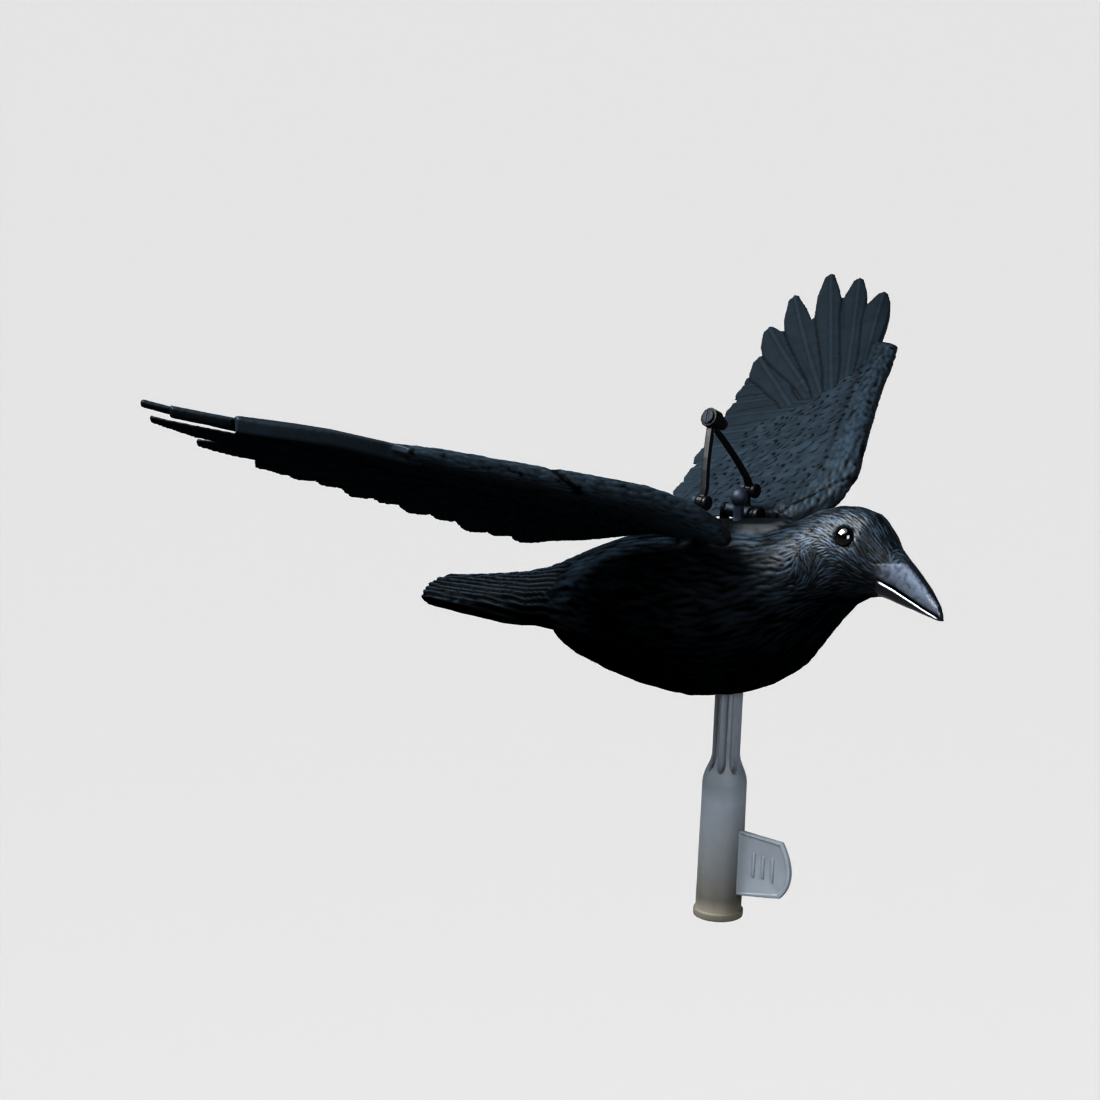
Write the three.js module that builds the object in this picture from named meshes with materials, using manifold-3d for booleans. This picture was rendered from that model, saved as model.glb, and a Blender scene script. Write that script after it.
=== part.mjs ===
// Crow decoy in flight: a moulded bird on a grey pole socket, its two wings hinged on the back
// and joined by a pair of struts that meet in a barrel above the body.
// Millimetres. X runs forward to the beak, Y to the bird's left, Z up.
// The origin is the middle of the socket's mouth, where the pole goes in.
import * as THREE from 'three';
import { mergeVertices } from 'three/addons/utils/BufferGeometryUtils.js';
import Module from 'manifold-3d';

// Body moulding
const BODY_LENGTH = 436;
const BEAK_REACH = 170;
const BELLY_HEIGHT = 153;
const BODY_DEPTH = 154;
const BODY_WIDTH = 112;
const BEAK_GAP = 2.2;
const TAIL_RIDGE = 1.6;
const EYE_DIAMETER = 13;
const EYE_BULGE = 3.2;
const EYE_RIM = 1;
const EYE_SEAT_DEPTH = 4;

// Pole socket and stem
const POLE_DIAMETER = 25;
const POLE_CLEARANCE = 0.5;
const SOCKET_WALL = 3.1;
const SOCKET_DEPTH = 86;
const SOCKET_HEIGHT = 96;
const SOCKET_TAPER = 0.6;
const RIM_HEIGHT = 5.5;
const RIM_OVERHANG = 1.4;
const RIM_ROUND = 0.8;
const SHOULDER_HEIGHT = 22;
const STEM_DIAMETER = 19;
const STEM_CHAMFER = 1;
const FLUTE_COUNT = 8;
const FLUTE_RADIUS = 2.6;
const FLUTE_BITE = 1.7;
const FLUTE_STOP = 4;
const STEM_IN_BODY = 74;
const POST_DIAMETER = 7;
const BALL_DIAMETER = 12.5;
const BALL_ABOVE_BACK = 20;
const TAB_REACH = 60;
const TAB_BOTTOM = 18;
const TAB_HEIGHT = 47;
const TAB_THICKNESS = 3;
const TAB_EDGE = 2.5;
const TAB_RELIEF = 0.8;
const TAB_TAPER = 7;
const TAB_CORNER = 8;
const STROKE_COUNT = 3;
const STROKE_WIDTH = 2;

// Wings and their hinges
const WING_REACH = 350;
const WING_CHORD = 150;
const WING_RISE = 110;
const WING_PLATE = 3;
const ARM_THICKNESS = 22;
const ARM_UNDER = 9.5;
const ARM_SLIMMING = 0.5;
const WING_CAMBER = 7;
const FEATHER_WIDTH = 20;
const SECONDARY_WIDTH = 28;
const FEATHER_STEP = 1.5;
const FEATHER_CROWN = 2.2;
const FEATHER_EDGE = 1.8;
const FEATHER_TIP = 0.34;
const LEADING_VANE = 0.8;
const TRAILING_VANE = 1.2;
const FINGER_DEPTH = 9;
const SECONDARY_COUNT = 10;
const HINGE_OUT = 24;
const HINGE_ABOVE_BACK = 2.935;
const HINGE_SEAT_ROOT = 8;
const HINGE_PIN = 4;
const KNUCKLE_DIAMETER = 9.5;
const KNUCKLE_FRONT = -3.3;
const KNUCKLE_WIDTH = 4;
const WING_KNUCKLE_WIDTH = 20;
const HINGE_HEAD = 12;
const HINGE_HEAD_WIDTH = 4;

// Linkage above the back
const LUG_LENGTH = 16;
const LUG_ANGLE = 80;
const LUG_WIDTH = 4.5;
const LUG_SPREAD = 4;
const FOOT_PIN = 3;
const FOOT_EYE = 9;
const FOOT_HEAD = 10;
const FOOT_HEAD_WIDTH = 3.5;
const FOOT_FRONT = -9;
const STRUT_WIDTH = 4.4;
const STRUT_THICKNESS = 3.8;
const STRUT_BOW = 2;
const CHANNEL_WIDTH = 2.2;
const CHANNEL_DEPTH = 1;
const HUB_ABOVE_HINGE = 65.5;
const HUB_BACK = 23;
const BARREL_DIAMETER = 13.5;
const BARREL_LENGTH = 8;
const HUB_PIN = 4;
const HUB_EYE = 9.5;
const HUB_EYE_WIDTH = 4;
const HUB_EYE_PLAY = 1;
const HUB_SIDE_PLAY = 1.4;
const HUB_NECK = 6.5;
const HUB_HEAD = 9.5;
const HUB_HEAD_WIDTH = 1.2;
const HUB_FLANGE = 7.5;
const HUB_FLANGE_WIDTH = 2;
const SLOT_WIDTH = 1.8;
const SLOT_DEPTH = 0.8;

// Clearances
const SEAT_GAP = 0.3;
const TURNING_GAP = 0.1;

// How finely the round and free forms are faceted
const FACETS = 12;
const BODY_ALONG = 26;
const BODY_ROUND = 28;
const TURNED_ROUND = 20;
const FINGER_STEPS = [0, 0.5, 0.7, 0.84, 0.94, 1];
const SECONDARY_STEPS = [0, 0.7, 0.93, 1];

// Body sections from tail tip to beak tip. Each row holds the place along the length, the
// underside and the top as shares of the depth, and the half width as a share of half the width.
const BODY_SECTIONS = [
  [0.000, 0.106, 0.232, 0.36],
  [0.005, 0.099, 0.243, 0.43],
  [0.032, 0.099, 0.257, 0.47],
  [0.085, 0.101, 0.289, 0.50],
  [0.174, 0.107, 0.351, 0.54],
  [0.240, 0.132, 0.418, 0.58],
  [0.300, 0.145, 0.508, 0.69],
  [0.314, 0.094, 0.530, 0.72],
  [0.345, 0.054, 0.577, 0.77],
  [0.404, 0.024, 0.657, 0.86],
  [0.472, 0.003, 0.721, 0.95],
  [0.553, 0.006, 0.773, 1.00],
  [0.633, 0.058, 0.818, 0.98],
  [0.690, 0.130, 0.847, 0.89],
  [0.732, 0.215, 0.901, 0.79],
  [0.766, 0.336, 0.957, 0.64],
  [0.798, 0.455, 0.993, 0.55],
  [0.833, 0.567, 1.009, 0.47],
  [0.867, 0.631, 0.995, 0.40],
  [0.890, 0.647, 0.940, 0.32],
  [0.906, 0.643, 0.883, 0.25],
  [0.924, 0.630, 0.844, 0.19],
  [0.947, 0.620, 0.795, 0.15],
  [0.972, 0.607, 0.731, 0.11],
  [0.991, 0.597, 0.669, 0.06],
  [1.000, 0.594, 0.614, 0.02],
];
const BELT = 0.46;

// Corner of the gape, tip of the slit, eye and end of the ridged tail, as shares along the
// body's length, and as shares of its depth or of the head's height there.
const GAPE_CORNER = [0.8995, 0.747];
const GAPE_TIP = [0.993, 0.620];
const EYE_PLACE = [0.843, 0.765];
const RIDGES_FADE = [0.22, 0.30];

// Wing stations from root to tip. Each row holds the place along the reach, the leading and the
// trailing edge as shares of the chord ahead of the stem, and their heights as shares of the rise.
const WING_STATIONS = [
  [0.02, 0.13, -0.62, -0.03, -0.26],
  [0.07, 0.20, -0.72, 0.015, -0.23],
  [0.12, 0.25, -0.79, 0.11, -0.23],
  [0.16, 0.25, -0.82, 0.19, -0.20],
  [0.23, 0.175, -0.87, 0.31, -0.14],
  [0.35, 0.02, -0.97, 0.42, 0.01],
  [0.47, -0.14, -1.06, 0.515, 0.15],
  [0.64, -0.34, -1.20, 0.655, 0.36],
  [0.79, -0.55, -1.36, 0.78, 0.56],
  [1.00, -0.86, -1.55, 0.86, 0.90],
];

// Outer wing feathers from the leading edge back. Each row holds root and tip, both as a share
// of the reach and a share of the chord ahead of the stem.
const FINGERS = [
  [0.62, -0.48, 0.918, -0.88],
  [0.60, -0.55, 0.975, -1.13],
  [0.58, -0.62, 0.973, -1.31],
  [0.56, -0.68, 0.905, -1.42],
  [0.54, -0.72, 0.800, -1.39],
  [0.50, -0.76, 0.700, -1.27],
];
const ARM_END = 0.685;
const ARM_CHORD = 0.62;

const wasm = await Module();
wasm.setup();

const vec = (x, y, z) => new THREE.Vector3(x, y, z);
const lerp = THREE.MathUtils.lerp;

// Smooth value of one column of a table at a given place, without overshoot between rows.
function tableValue(table, column, place) {
  const last = table.length - 1;
  const at = THREE.MathUtils.clamp(place, table[0][0], table[last][0]);
  let row = 0;
  while (row < last - 1 && table[row + 1][0] < at) row += 1;
  const slope = (k) => (table[k + 1][column] - table[k][column]) / (table[k + 1][0] - table[k][0]);
  const tangent = (k) => {
    if (k === 0) return slope(0);
    if (k === last) return slope(last - 1);
    const before = slope(k - 1);
    const after = slope(k);
    return before * after <= 0 ? 0 : (2 * before * after) / (before + after);
  };
  const span = table[row + 1][0] - table[row][0];
  const t = (at - table[row][0]) / span;
  const rise = t * t * (3 - 2 * t);
  return lerp(table[row][column], table[row + 1][column], rise)
    + span * t * (1 - t) * ((1 - t) * tangent(row) - t * tangent(row + 1));
}

// Closed solid through rings of points, its two ends closed by fans.
function skin(rings) {
  const count = rings[0].length;
  const positions = [];
  const index = [];
  for (const ring of rings) {
    for (const point of ring) positions.push(point.x, point.y, point.z);
  }
  for (let i = 0; i < rings.length - 1; i += 1) {
    for (let j = 0; j < count; j += 1) {
      const a = i * count + j;
      const b = i * count + (j + 1) % count;
      index.push(a, b, b + count, a, b + count, a + count);
    }
  }
  for (const [ring, start] of [[rings[0], 0], [rings[rings.length - 1], (rings.length - 1) * count]]) {
    const middle = ring.reduce((sum, point) => sum.add(point), vec(0, 0, 0)).divideScalar(count);
    const centre = positions.length / 3;
    positions.push(middle.x, middle.y, middle.z);
    for (let j = 0; j < count; j += 1) {
      const a = start + j;
      const b = start + (j + 1) % count;
      if (start === 0) index.push(centre, b, a);
      else index.push(centre, a, b);
    }
  }
  const geometry = new THREE.BufferGeometry();
  geometry.setAttribute('position', new THREE.Float32BufferAttribute(positions, 3));
  geometry.setIndex(index);
  return solid(geometry);
}

// Solid for cutting and joining, always with its faces outward.
function solid(geometry) {
  const source = geometry.clone();
  source.deleteAttribute('normal');
  source.deleteAttribute('uv');
  const merged = mergeVertices(source, 1e-4);
  const position = merged.getAttribute('position').array;
  const index = [...merged.index.array];
  const corner = (k) => vec(position[3 * k], position[3 * k + 1], position[3 * k + 2]);
  let volume = 0;
  const kept = [];
  for (let i = 0; i < index.length; i += 3) {
    const [a, b, c] = [index[i], index[i + 1], index[i + 2]];
    if (a === b || b === c || a === c) continue;
    volume += corner(a).dot(corner(b).cross(corner(c)));
    kept.push(a, b, c);
  }
  if (volume < 0) {
    for (let i = 0; i < kept.length; i += 3) [kept[i], kept[i + 1]] = [kept[i + 1], kept[i]];
  }
  return new wasm.Manifold(new wasm.Mesh({
    numProp: 3,
    vertProperties: new Float32Array(position),
    triVerts: new Uint32Array(kept),
  }));
}

function geometryOf(body) {
  const mesh = body.getMesh();
  const geometry = new THREE.BufferGeometry();
  geometry.setAttribute('position', new THREE.BufferAttribute(new Float32Array(mesh.vertProperties), 3));
  geometry.setIndex(new THREE.BufferAttribute(new Uint32Array(mesh.triVerts), 1));
  geometry.computeVertexNormals();
  return geometry;
}

// Round bar from one point to another.
function bar(from, to, radius, facets = FACETS) {
  const axis = to.clone().sub(from);
  const geometry = new THREE.CylinderGeometry(radius, radius, axis.length(), facets);
  geometry.applyQuaternion(new THREE.Quaternion().setFromUnitVectors(vec(0, 1, 0), axis.clone().normalize()));
  const middle = from.clone().add(to).multiplyScalar(0.5);
  geometry.translate(middle.x, middle.y, middle.z);
  return solid(geometry);
}

function box(x0, x1, y0, y1, z0, z1) {
  const geometry = new THREE.BoxGeometry(x1 - x0, y1 - y0, z1 - z0);
  geometry.translate((x0 + x1) / 2, (y0 + y1) / 2, (z0 + z1) / 2);
  return solid(geometry);
}

// Lathed solid about the stem's axis from radius and height pairs.
function turned(profile) {
  const geometry = new THREE.LatheGeometry(profile.map(([r, z]) => new THREE.Vector2(r, z)), TURNED_ROUND);
  geometry.rotateX(Math.PI / 2);
  return solid(geometry);
}

// The body's section at a share of its length, as a point at an angle round it.
const TAIL_X = BEAK_REACH - BODY_LENGTH;
const bodyX = (share) => TAIL_X + BODY_LENGTH * share;
const bodyShare = (x) => (x - TAIL_X) / BODY_LENGTH;
const bodyTop = (share) => BELLY_HEIGHT + BODY_DEPTH * tableValue(BODY_SECTIONS, 2, share);
const bodyUnder = (share) => BELLY_HEIGHT + BODY_DEPTH * tableValue(BODY_SECTIONS, 1, share);
const bodyHalf = (share) => BODY_WIDTH / 2 * tableValue(BODY_SECTIONS, 3, share);

function bodyPoint(share, angle, sunk = 0) {
  const top = bodyTop(share);
  const under = bodyUnder(share);
  const belt = lerp(under, top, BELT);
  const up = Math.sin(angle);
  const side = Math.cos(angle);
  const height = up > 0 ? top - belt : belt - under;
  return vec(bodyX(share), (bodyHalf(share) - sunk) * side, belt + (height - sunk) * up);
}

// Height of the body's upper surface at a place beside the middle.
function backHeight(x, y) {
  const share = bodyShare(x);
  const half = bodyHalf(share);
  const belt = lerp(bodyUnder(share), bodyTop(share), BELT);
  return belt + (bodyTop(share) - belt) * Math.sqrt(Math.max(0, 1 - (y / half) ** 2));
}

const BACK_HEIGHT = bodyTop(bodyShare(0));
const STEM_TOP = BELLY_HEIGHT + STEM_IN_BODY;
const HINGE_HEIGHT = BACK_HEIGHT + HINGE_ABOVE_BACK;
const HUB_HEIGHT = HINGE_HEIGHT + HUB_ABOVE_HINGE;

// Body: one hollow moulding with head, beak and ridged tail, shown solid.
function bodySolid() {
  const shares = [];
  for (let i = 0; i < BODY_SECTIONS.length - 1; i += 1) {
    const a = BODY_SECTIONS[i][0];
    const b = BODY_SECTIONS[i + 1][0];
    const steps = Math.max(1, Math.round((b - a) * BODY_LENGTH / BODY_ALONG));
    for (let k = 0; k < steps; k += 1) shares.push(lerp(a, b, k / steps));
  }
  shares.push(1);
  const rings = shares.map((share) => {
    const ring = [];
    const ridge = 1 - THREE.MathUtils.smoothstep(share, ...RIDGES_FADE);
    for (let k = 0; k < BODY_ROUND; k += 1) {
      const angle = 2 * Math.PI * k / BODY_ROUND;
      const depth = k % 2 === 0 ? 0 : TAIL_RIDGE * ridge;
      ring.push(bodyPoint(share, angle, depth));
    }
    return ring;
  });
  let body = skin(rings);
  body = body.subtract(beakSlit());
  for (const side of [1, -1]) {
    body = body.subtract(eyeSeat(side));
    body = body.add(hingeSeat(side, KNUCKLE_FRONT));
    body = body.add(hingeSeat(side, KNUCKLE_FRONT - KNUCKLE_WIDTH - WING_KNUCKLE_WIDTH - 2 * SEAT_GAP));
    body = body.subtract(bar(
      vec(KNUCKLE_FRONT + 1, side * HINGE_OUT, HINGE_HEIGHT),
      vec(hingeBack() - 1, side * HINGE_OUT, HINGE_HEIGHT),
      HINGE_PIN / 2 + SEAT_GAP,
    ));
  }
  const stemHole = STEM_DIAMETER / 2 + SEAT_GAP;
  const below = vec(0, 0, SOCKET_HEIGHT + SHOULDER_HEIGHT);
  const above = vec(0, 0, BACK_HEIGHT + BALL_ABOVE_BACK);
  body = body.subtract(bar(below, vec(0, 0, STEM_TOP + SEAT_GAP), stemHole, TURNED_ROUND));
  return body.subtract(bar(vec(0, 0, STEM_TOP), above, POST_DIAMETER / 2 + SEAT_GAP));
}

// Open gape between the two halves of the beak, narrowing toward the tip.
function beakSlit() {
  const corner = vec(bodyX(GAPE_CORNER[0]), 0, BELLY_HEIGHT + BODY_DEPTH * GAPE_CORNER[1]);
  const tip = vec(bodyX(GAPE_TIP[0]), 0, BELLY_HEIGHT + BODY_DEPTH * GAPE_TIP[1]);
  const wide = BODY_WIDTH;
  const ring = (y) => [
    vec(corner.x, y, corner.z),
    vec(lerp(corner.x, tip.x, 0.25), y, lerp(corner.z, tip.z, 0.25) + BEAK_GAP / 2),
    vec(tip.x, y, tip.z + BEAK_GAP / 4),
    vec(tip.x, y, tip.z - BEAK_GAP / 4),
    vec(lerp(corner.x, tip.x, 0.25), y, lerp(corner.z, tip.z, 0.25) - BEAK_GAP / 2),
  ];
  return skin([ring(-wide), ring(wide)]);
}

// Eyes: glossy domes set in round seats on the sides of the head.
function eyeFrame(side) {
  const [share, raise] = EYE_PLACE;
  const under = bodyUnder(share);
  const top = bodyTop(share);
  const belt = lerp(under, top, BELT);
  const angle = Math.asin((lerp(under, top, raise) - belt) / (top - belt));
  const at = bodyPoint(share, angle);
  const near = 0.01;
  const along = bodyPoint(share + near, angle).sub(bodyPoint(share - near, angle));
  const round = bodyPoint(share, angle + near).sub(bodyPoint(share, angle - near));
  const out = along.cross(round).normalize();
  if (out.y < 0) out.negate();
  at.y *= side;
  out.y *= side;
  return { at, out };
}

function eyeSeat(side) {
  const { at, out } = eyeFrame(side);
  const from = at.clone().addScaledVector(out, -EYE_SEAT_DEPTH);
  const to = at.clone().addScaledVector(out, EYE_SEAT_DEPTH);
  return bar(from, to, EYE_DIAMETER / 2 + SEAT_GAP);
}

function eyeSolid(side) {
  const { at, out } = eyeFrame(side);
  const radius = EYE_DIAMETER / 2;
  const floor = -EYE_SEAT_DEPTH + SEAT_GAP;
  const profile = [new THREE.Vector2(0, floor), new THREE.Vector2(radius, floor)];
  const steps = 4;
  for (let k = 0; k <= steps; k += 1) {
    const turn = Math.PI / 2 * k / steps;
    profile.push(new THREE.Vector2(radius * Math.cos(turn), (EYE_BULGE + EYE_RIM) * Math.sin(turn) - EYE_RIM));
  }
  profile[profile.length - 1].x = 0;
  const geometry = new THREE.LatheGeometry(profile, FACETS);
  geometry.applyQuaternion(new THREE.Quaternion().setFromUnitVectors(vec(0, 1, 0), out));
  geometry.translate(at.x, at.y, at.z);
  return solid(geometry);
}

// Hinge knuckles standing on the back, one pair for each wing.
const hingeBack = () => KNUCKLE_FRONT - 2 * KNUCKLE_WIDTH - WING_KNUCKLE_WIDTH - 2 * SEAT_GAP;

function hingeSeat(side, front) {
  const back = front - KNUCKLE_WIDTH;
  const y = side * HINGE_OUT;
  const half = KNUCKLE_DIAMETER / 2;
  const foot = backHeight(front, HINGE_OUT + half) - HINGE_SEAT_ROOT;
  const barrel = bar(vec(back, y, HINGE_HEIGHT), vec(front, y, HINGE_HEIGHT), half);
  return barrel.add(box(back, front, y - half, y + half, foot, HINGE_HEIGHT));
}

// Pins with a round head in front.
function headedPin(y, z, front, back, radius, headRadius, headWidth) {
  const shank = bar(vec(back, y, z), vec(front + headWidth / 2, y, z), radius);
  const edge = headWidth / 4;
  const head = bar(vec(front, y, z), vec(front + headWidth - edge, y, z), headRadius)
    .add(bar(vec(front, y, z), vec(front + headWidth, y, z), headRadius - edge));
  return shank.add(head);
}

// Wing surface: the middle of its thickness above a place in plan, for the left wing.
const reachOf = (share) => HINGE_OUT + WING_REACH * share;
const shareOf = (y) => (y - HINGE_OUT) / WING_REACH;
const leadX = (share) => WING_CHORD * tableValue(WING_STATIONS, 1, share);
const trailX = (share) => WING_CHORD * tableValue(WING_STATIONS, 2, share);

function wingHeight(x, y) {
  const share = shareOf(y);
  const front = leadX(share);
  const across = THREE.MathUtils.clamp((front - x) / (front - trailX(share)), -0.3, 1.4);
  const low = HINGE_HEIGHT + WING_RISE * tableValue(WING_STATIONS, 3, share);
  const high = HINGE_HEIGHT + WING_RISE * tableValue(WING_STATIONS, 4, share);
  const crest = 0.3;
  const bend = across < crest
    ? (2 * crest * across - across * across) / (crest * crest)
    : (1 - 2 * crest + 2 * crest * across - across * across) / ((1 - crest) ** 2);
  return lerp(low, high, across) + WING_CAMBER * bend;
}

// Arm of the wing: thick rounded leading part under the small feathers.
function armSolid() {
  const rings = [];
  const stations = [0.025, 0.045, 0.09, 0.13, 0.18, 0.26, 0.37, 0.50, 0.60, 0.66, ARM_END];
  const across = [0, 0.03, 0.11, 0.3, 0.6, 1];
  for (const share of stations) {
    const ends = Math.min(1, (ARM_END - share) / 0.04, (share - 0.015) / 0.04);
    const taper = Math.sqrt(Math.max(0.25, ends));
    const front = leadX(share);
    const chord = (front - trailX(share)) * ARM_CHORD * lerp(0.45, 1, taper);
    const slim = lerp(1, ARM_SLIMMING, share / ARM_END) * taper;
    const y = reachOf(share);
    const half = (c, depth) => {
      const bulge = Math.min(1, 3.6 * Math.sqrt(c)) * (1 - c) ** 1.2;
      return depth * slim * bulge + WING_PLATE * 0.35 * Math.sqrt(c);
    };
    const at = (c, height) => {
      const x = front - chord * c;
      return vec(x, y, wingHeight(x, y) + height);
    };
    const ring = across.map((c) => at(c, half(c, ARM_THICKNESS / 2)));
    for (const c of across.slice(1).reverse()) ring.push(at(c, -half(c, ARM_UNDER)));
    rings.push(ring);
  }
  return skin(rings);
}

// Thin plate that carries the feathers behind the arm.
function plateSolid() {
  const rings = [];
  const stations = [0.06, 0.11, 0.18, 0.28, 0.40, 0.52, 0.64, 0.74];
  const across = [0.1, 0.35, 0.65, 0.95];
  for (const share of stations) {
    const front = leadX(share);
    const chord = front - trailX(share);
    const y = reachOf(share);
    const inset = share > 0.66 ? 0.3 : 0;
    const at = (c, way) => {
      const x = front - chord * lerp(c, 0.55, inset);
      return vec(x, y, wingHeight(x, y) + way * WING_PLATE / 2);
    };
    const ring = across.map((c) => at(c, 1));
    for (let k = across.length - 1; k >= 0; k -= 1) ring.push(at(across[k], -1));
    rings.push(ring);
  }
  return skin(rings);
}

// One feather lying along the wing surface from root to tip, drawn in to its tip from a share
// of its length on. A depth arches it, with its leading edge turned down.
function featherSolid(root, tip, width, lift, steps, drawIn, depth) {
  const along = tip.clone().sub(root);
  const way = along.clone().normalize();
  const side = new THREE.Vector2(-way.y, way.x);
  const rings = steps.map((t) => {
    const ending = Math.max(0, (t - drawIn) / (1 - drawIn));
    const blunt = Math.max(FEATHER_TIP, (1 - ending ** 2) ** 0.5);
    const half = width / 2 * lerp(0.8, 1.1, Math.min(1, t * 2)) * blunt;
    const middle = root.clone().addScaledVector(along, t);
    const at = (shareOut, up) => {
      const vane = shareOut < 0 ? LEADING_VANE : TRAILING_VANE;
      const spot = middle.clone().addScaledVector(side, half * vane * shareOut);
      return vec(spot.x, spot.y, wingHeight(spot.x, spot.y) + lift + up);
    };
    const edge = FEATHER_EDGE / 2;
    const under = depth > 0 ? [at(-0.3, -depth), at(-1, -0.8 * depth)] : [at(-1, -edge)];
    return [at(-1, edge), at(0, FEATHER_CROWN), at(1, edge), at(1, -edge), ...under];
  });
  return skin(rings);
}

function wingSolid(side) {
  let wing = plateSolid().add(armSolid());
  const plan = (reach, chord) => new THREE.Vector2(WING_CHORD * chord, reachOf(reach));
  FINGERS.forEach(([rootReach, rootChord, tipReach, tipChord], k) => {
    const lift = FEATHER_STEP * (k % 2 === 0 ? 0.5 : -0.5);
    const root = plan(rootReach, rootChord);
    const tip = plan(tipReach, tipChord);
    const depth = Math.max(0, FINGER_DEPTH * (1 - k / 3));
    wing = wing.add(featherSolid(root, tip, FEATHER_WIDTH, lift, FINGER_STEPS, 0.55, depth));
  });
  for (let k = 0; k < SECONDARY_COUNT; k += 1) {
    const share = lerp(0.62, 0.085, k / (SECONDARY_COUNT - 1));
    const front = leadX(share);
    const back = trailX(share);
    const root = new THREE.Vector2(lerp(front, back, 0.45), reachOf(share - 0.02));
    const tip = new THREE.Vector2(back - WING_CHORD * 0.03, reachOf(share + 0.025));
    const lift = FEATHER_STEP * (k % 2 === 0 ? -0.5 : 0.5);
    wing = wing.add(featherSolid(root, tip, SECONDARY_WIDTH, lift, SECONDARY_STEPS, 0.75, 0));
  }
  wing = wing.add(wingHinge());
  const bore = bar(
    vec(KNUCKLE_FRONT, HINGE_OUT, HINGE_HEIGHT),
    vec(hingeBack(), HINGE_OUT, HINGE_HEIGHT),
    HINGE_PIN / 2 + TURNING_GAP,
  );
  wing = wing.subtract(bore);
  if (side > 0) return wing;
  return mirrored(wing);
}

// Barrel on the wing's root that turns on the hinge pin, with the lug that carries the strut.
const LUG_RISE = THREE.MathUtils.degToRad(LUG_ANGLE);
const LUG_OUT = HINGE_OUT + LUG_LENGTH * Math.cos(LUG_RISE);
const LUG_HEIGHT = HINGE_HEIGHT + LUG_LENGTH * Math.sin(LUG_RISE);
const FOOT_BACK = FOOT_FRONT - STRUT_WIDTH;

function wingHinge() {
  const front = KNUCKLE_FRONT - KNUCKLE_WIDTH - SEAT_GAP;
  const back = front - WING_KNUCKLE_WIDTH;
  const half = KNUCKLE_DIAMETER / 2;
  const outer = reachOf(0.09);
  let hinge = bar(vec(back, HINGE_OUT, HINGE_HEIGHT), vec(front, HINGE_OUT, HINGE_HEIGHT), half);
  hinge = hinge.add(box(back, front, HINGE_OUT, outer, HINGE_HEIGHT - half, HINGE_HEIGHT + half * 0.6));
  const lugFront = FOOT_BACK - SEAT_GAP;
  const lugBack = lugFront - LUG_WIDTH;
  const ring = (x) => [
    vec(x, HINGE_OUT - half, HINGE_HEIGHT),
    vec(x, LUG_OUT - FOOT_EYE / 2, LUG_HEIGHT),
    vec(x, LUG_OUT + FOOT_EYE / 2, LUG_HEIGHT),
    vec(x, HINGE_OUT + half + LUG_SPREAD, HINGE_HEIGHT),
  ];
  hinge = hinge.add(skin([ring(lugBack), ring(lugFront)]));
  hinge = hinge.add(bar(vec(lugBack, LUG_OUT, LUG_HEIGHT), vec(lugFront, LUG_OUT, LUG_HEIGHT), FOOT_EYE / 2));
  return hinge.subtract(bar(
    vec(lugBack - LUG_WIDTH, LUG_OUT, LUG_HEIGHT),
    vec(lugFront + LUG_WIDTH, LUG_OUT, LUG_HEIGHT),
    FOOT_PIN / 2 + SEAT_GAP,
  ));
}

function mirrored(shape) {
  const geometry = geometryOf(shape);
  geometry.scale(1, -1, 1);
  return solid(geometry);
}

// Struts: the right one ends in the barrel, the left one in a loose eye on the barrel's pin.
const hub = vec(-HUB_BACK, 0, HUB_HEIGHT);

function strutFoot(side) {
  return vec(FOOT_FRONT - STRUT_WIDTH / 2, side * LUG_OUT, LUG_HEIGHT);
}

// Direction of the barrel's pin, square to the right strut and in the plane of both struts.
const strutLean = hub.clone().sub(strutFoot(-1)).normalize();
const strutPlane = vec(HUB_HEIGHT - LUG_HEIGHT, 0, HUB_BACK + FOOT_FRONT - STRUT_WIDTH / 2).normalize();
const barrelAxis = strutPlane.clone().cross(strutLean).normalize();
const barrelNear = hub.clone().addScaledVector(barrelAxis, BARREL_LENGTH);
const barrelFar = hub.clone();
const hubEyeNear = barrelFar.clone().addScaledVector(barrelAxis, -HUB_SIDE_PLAY);
const hubEyeFar = hubEyeNear.clone().addScaledVector(barrelAxis, -HUB_EYE_WIDTH);

function strutBar(side, top) {
  const foot = strutFoot(side);
  const ankle = FOOT_EYE / (top.z - foot.z);
  const halfX = STRUT_WIDTH / 2;
  const halfY = STRUT_THICKNESS / 2;
  const rings = [];
  for (const t of [0, ankle, 0.4, 0.55, 0.8, 1]) {
    const middle = foot.clone().lerp(top, t);
    middle.x = lerp(foot.x, top.x, Math.max(0, (t - ankle) / (1 - ankle)));
    middle.y += side * STRUT_BOW * Math.sin(Math.PI * t);
    const floor = halfX - (side > 0 && t > 0.5 ? CHANNEL_DEPTH : 0);
    const wall = CHANNEL_WIDTH / 2;
    const corners = [[-halfX, -halfY], [halfX, -halfY], [halfX, -wall], [floor, -wall]];
    corners.push([floor, wall], [halfX, wall], [halfX, halfY], [-halfX, halfY]);
    rings.push(corners.map(([a, b]) => vec(middle.x + a, middle.y + b, middle.z)));
  }
  return skin(rings);
}

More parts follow.
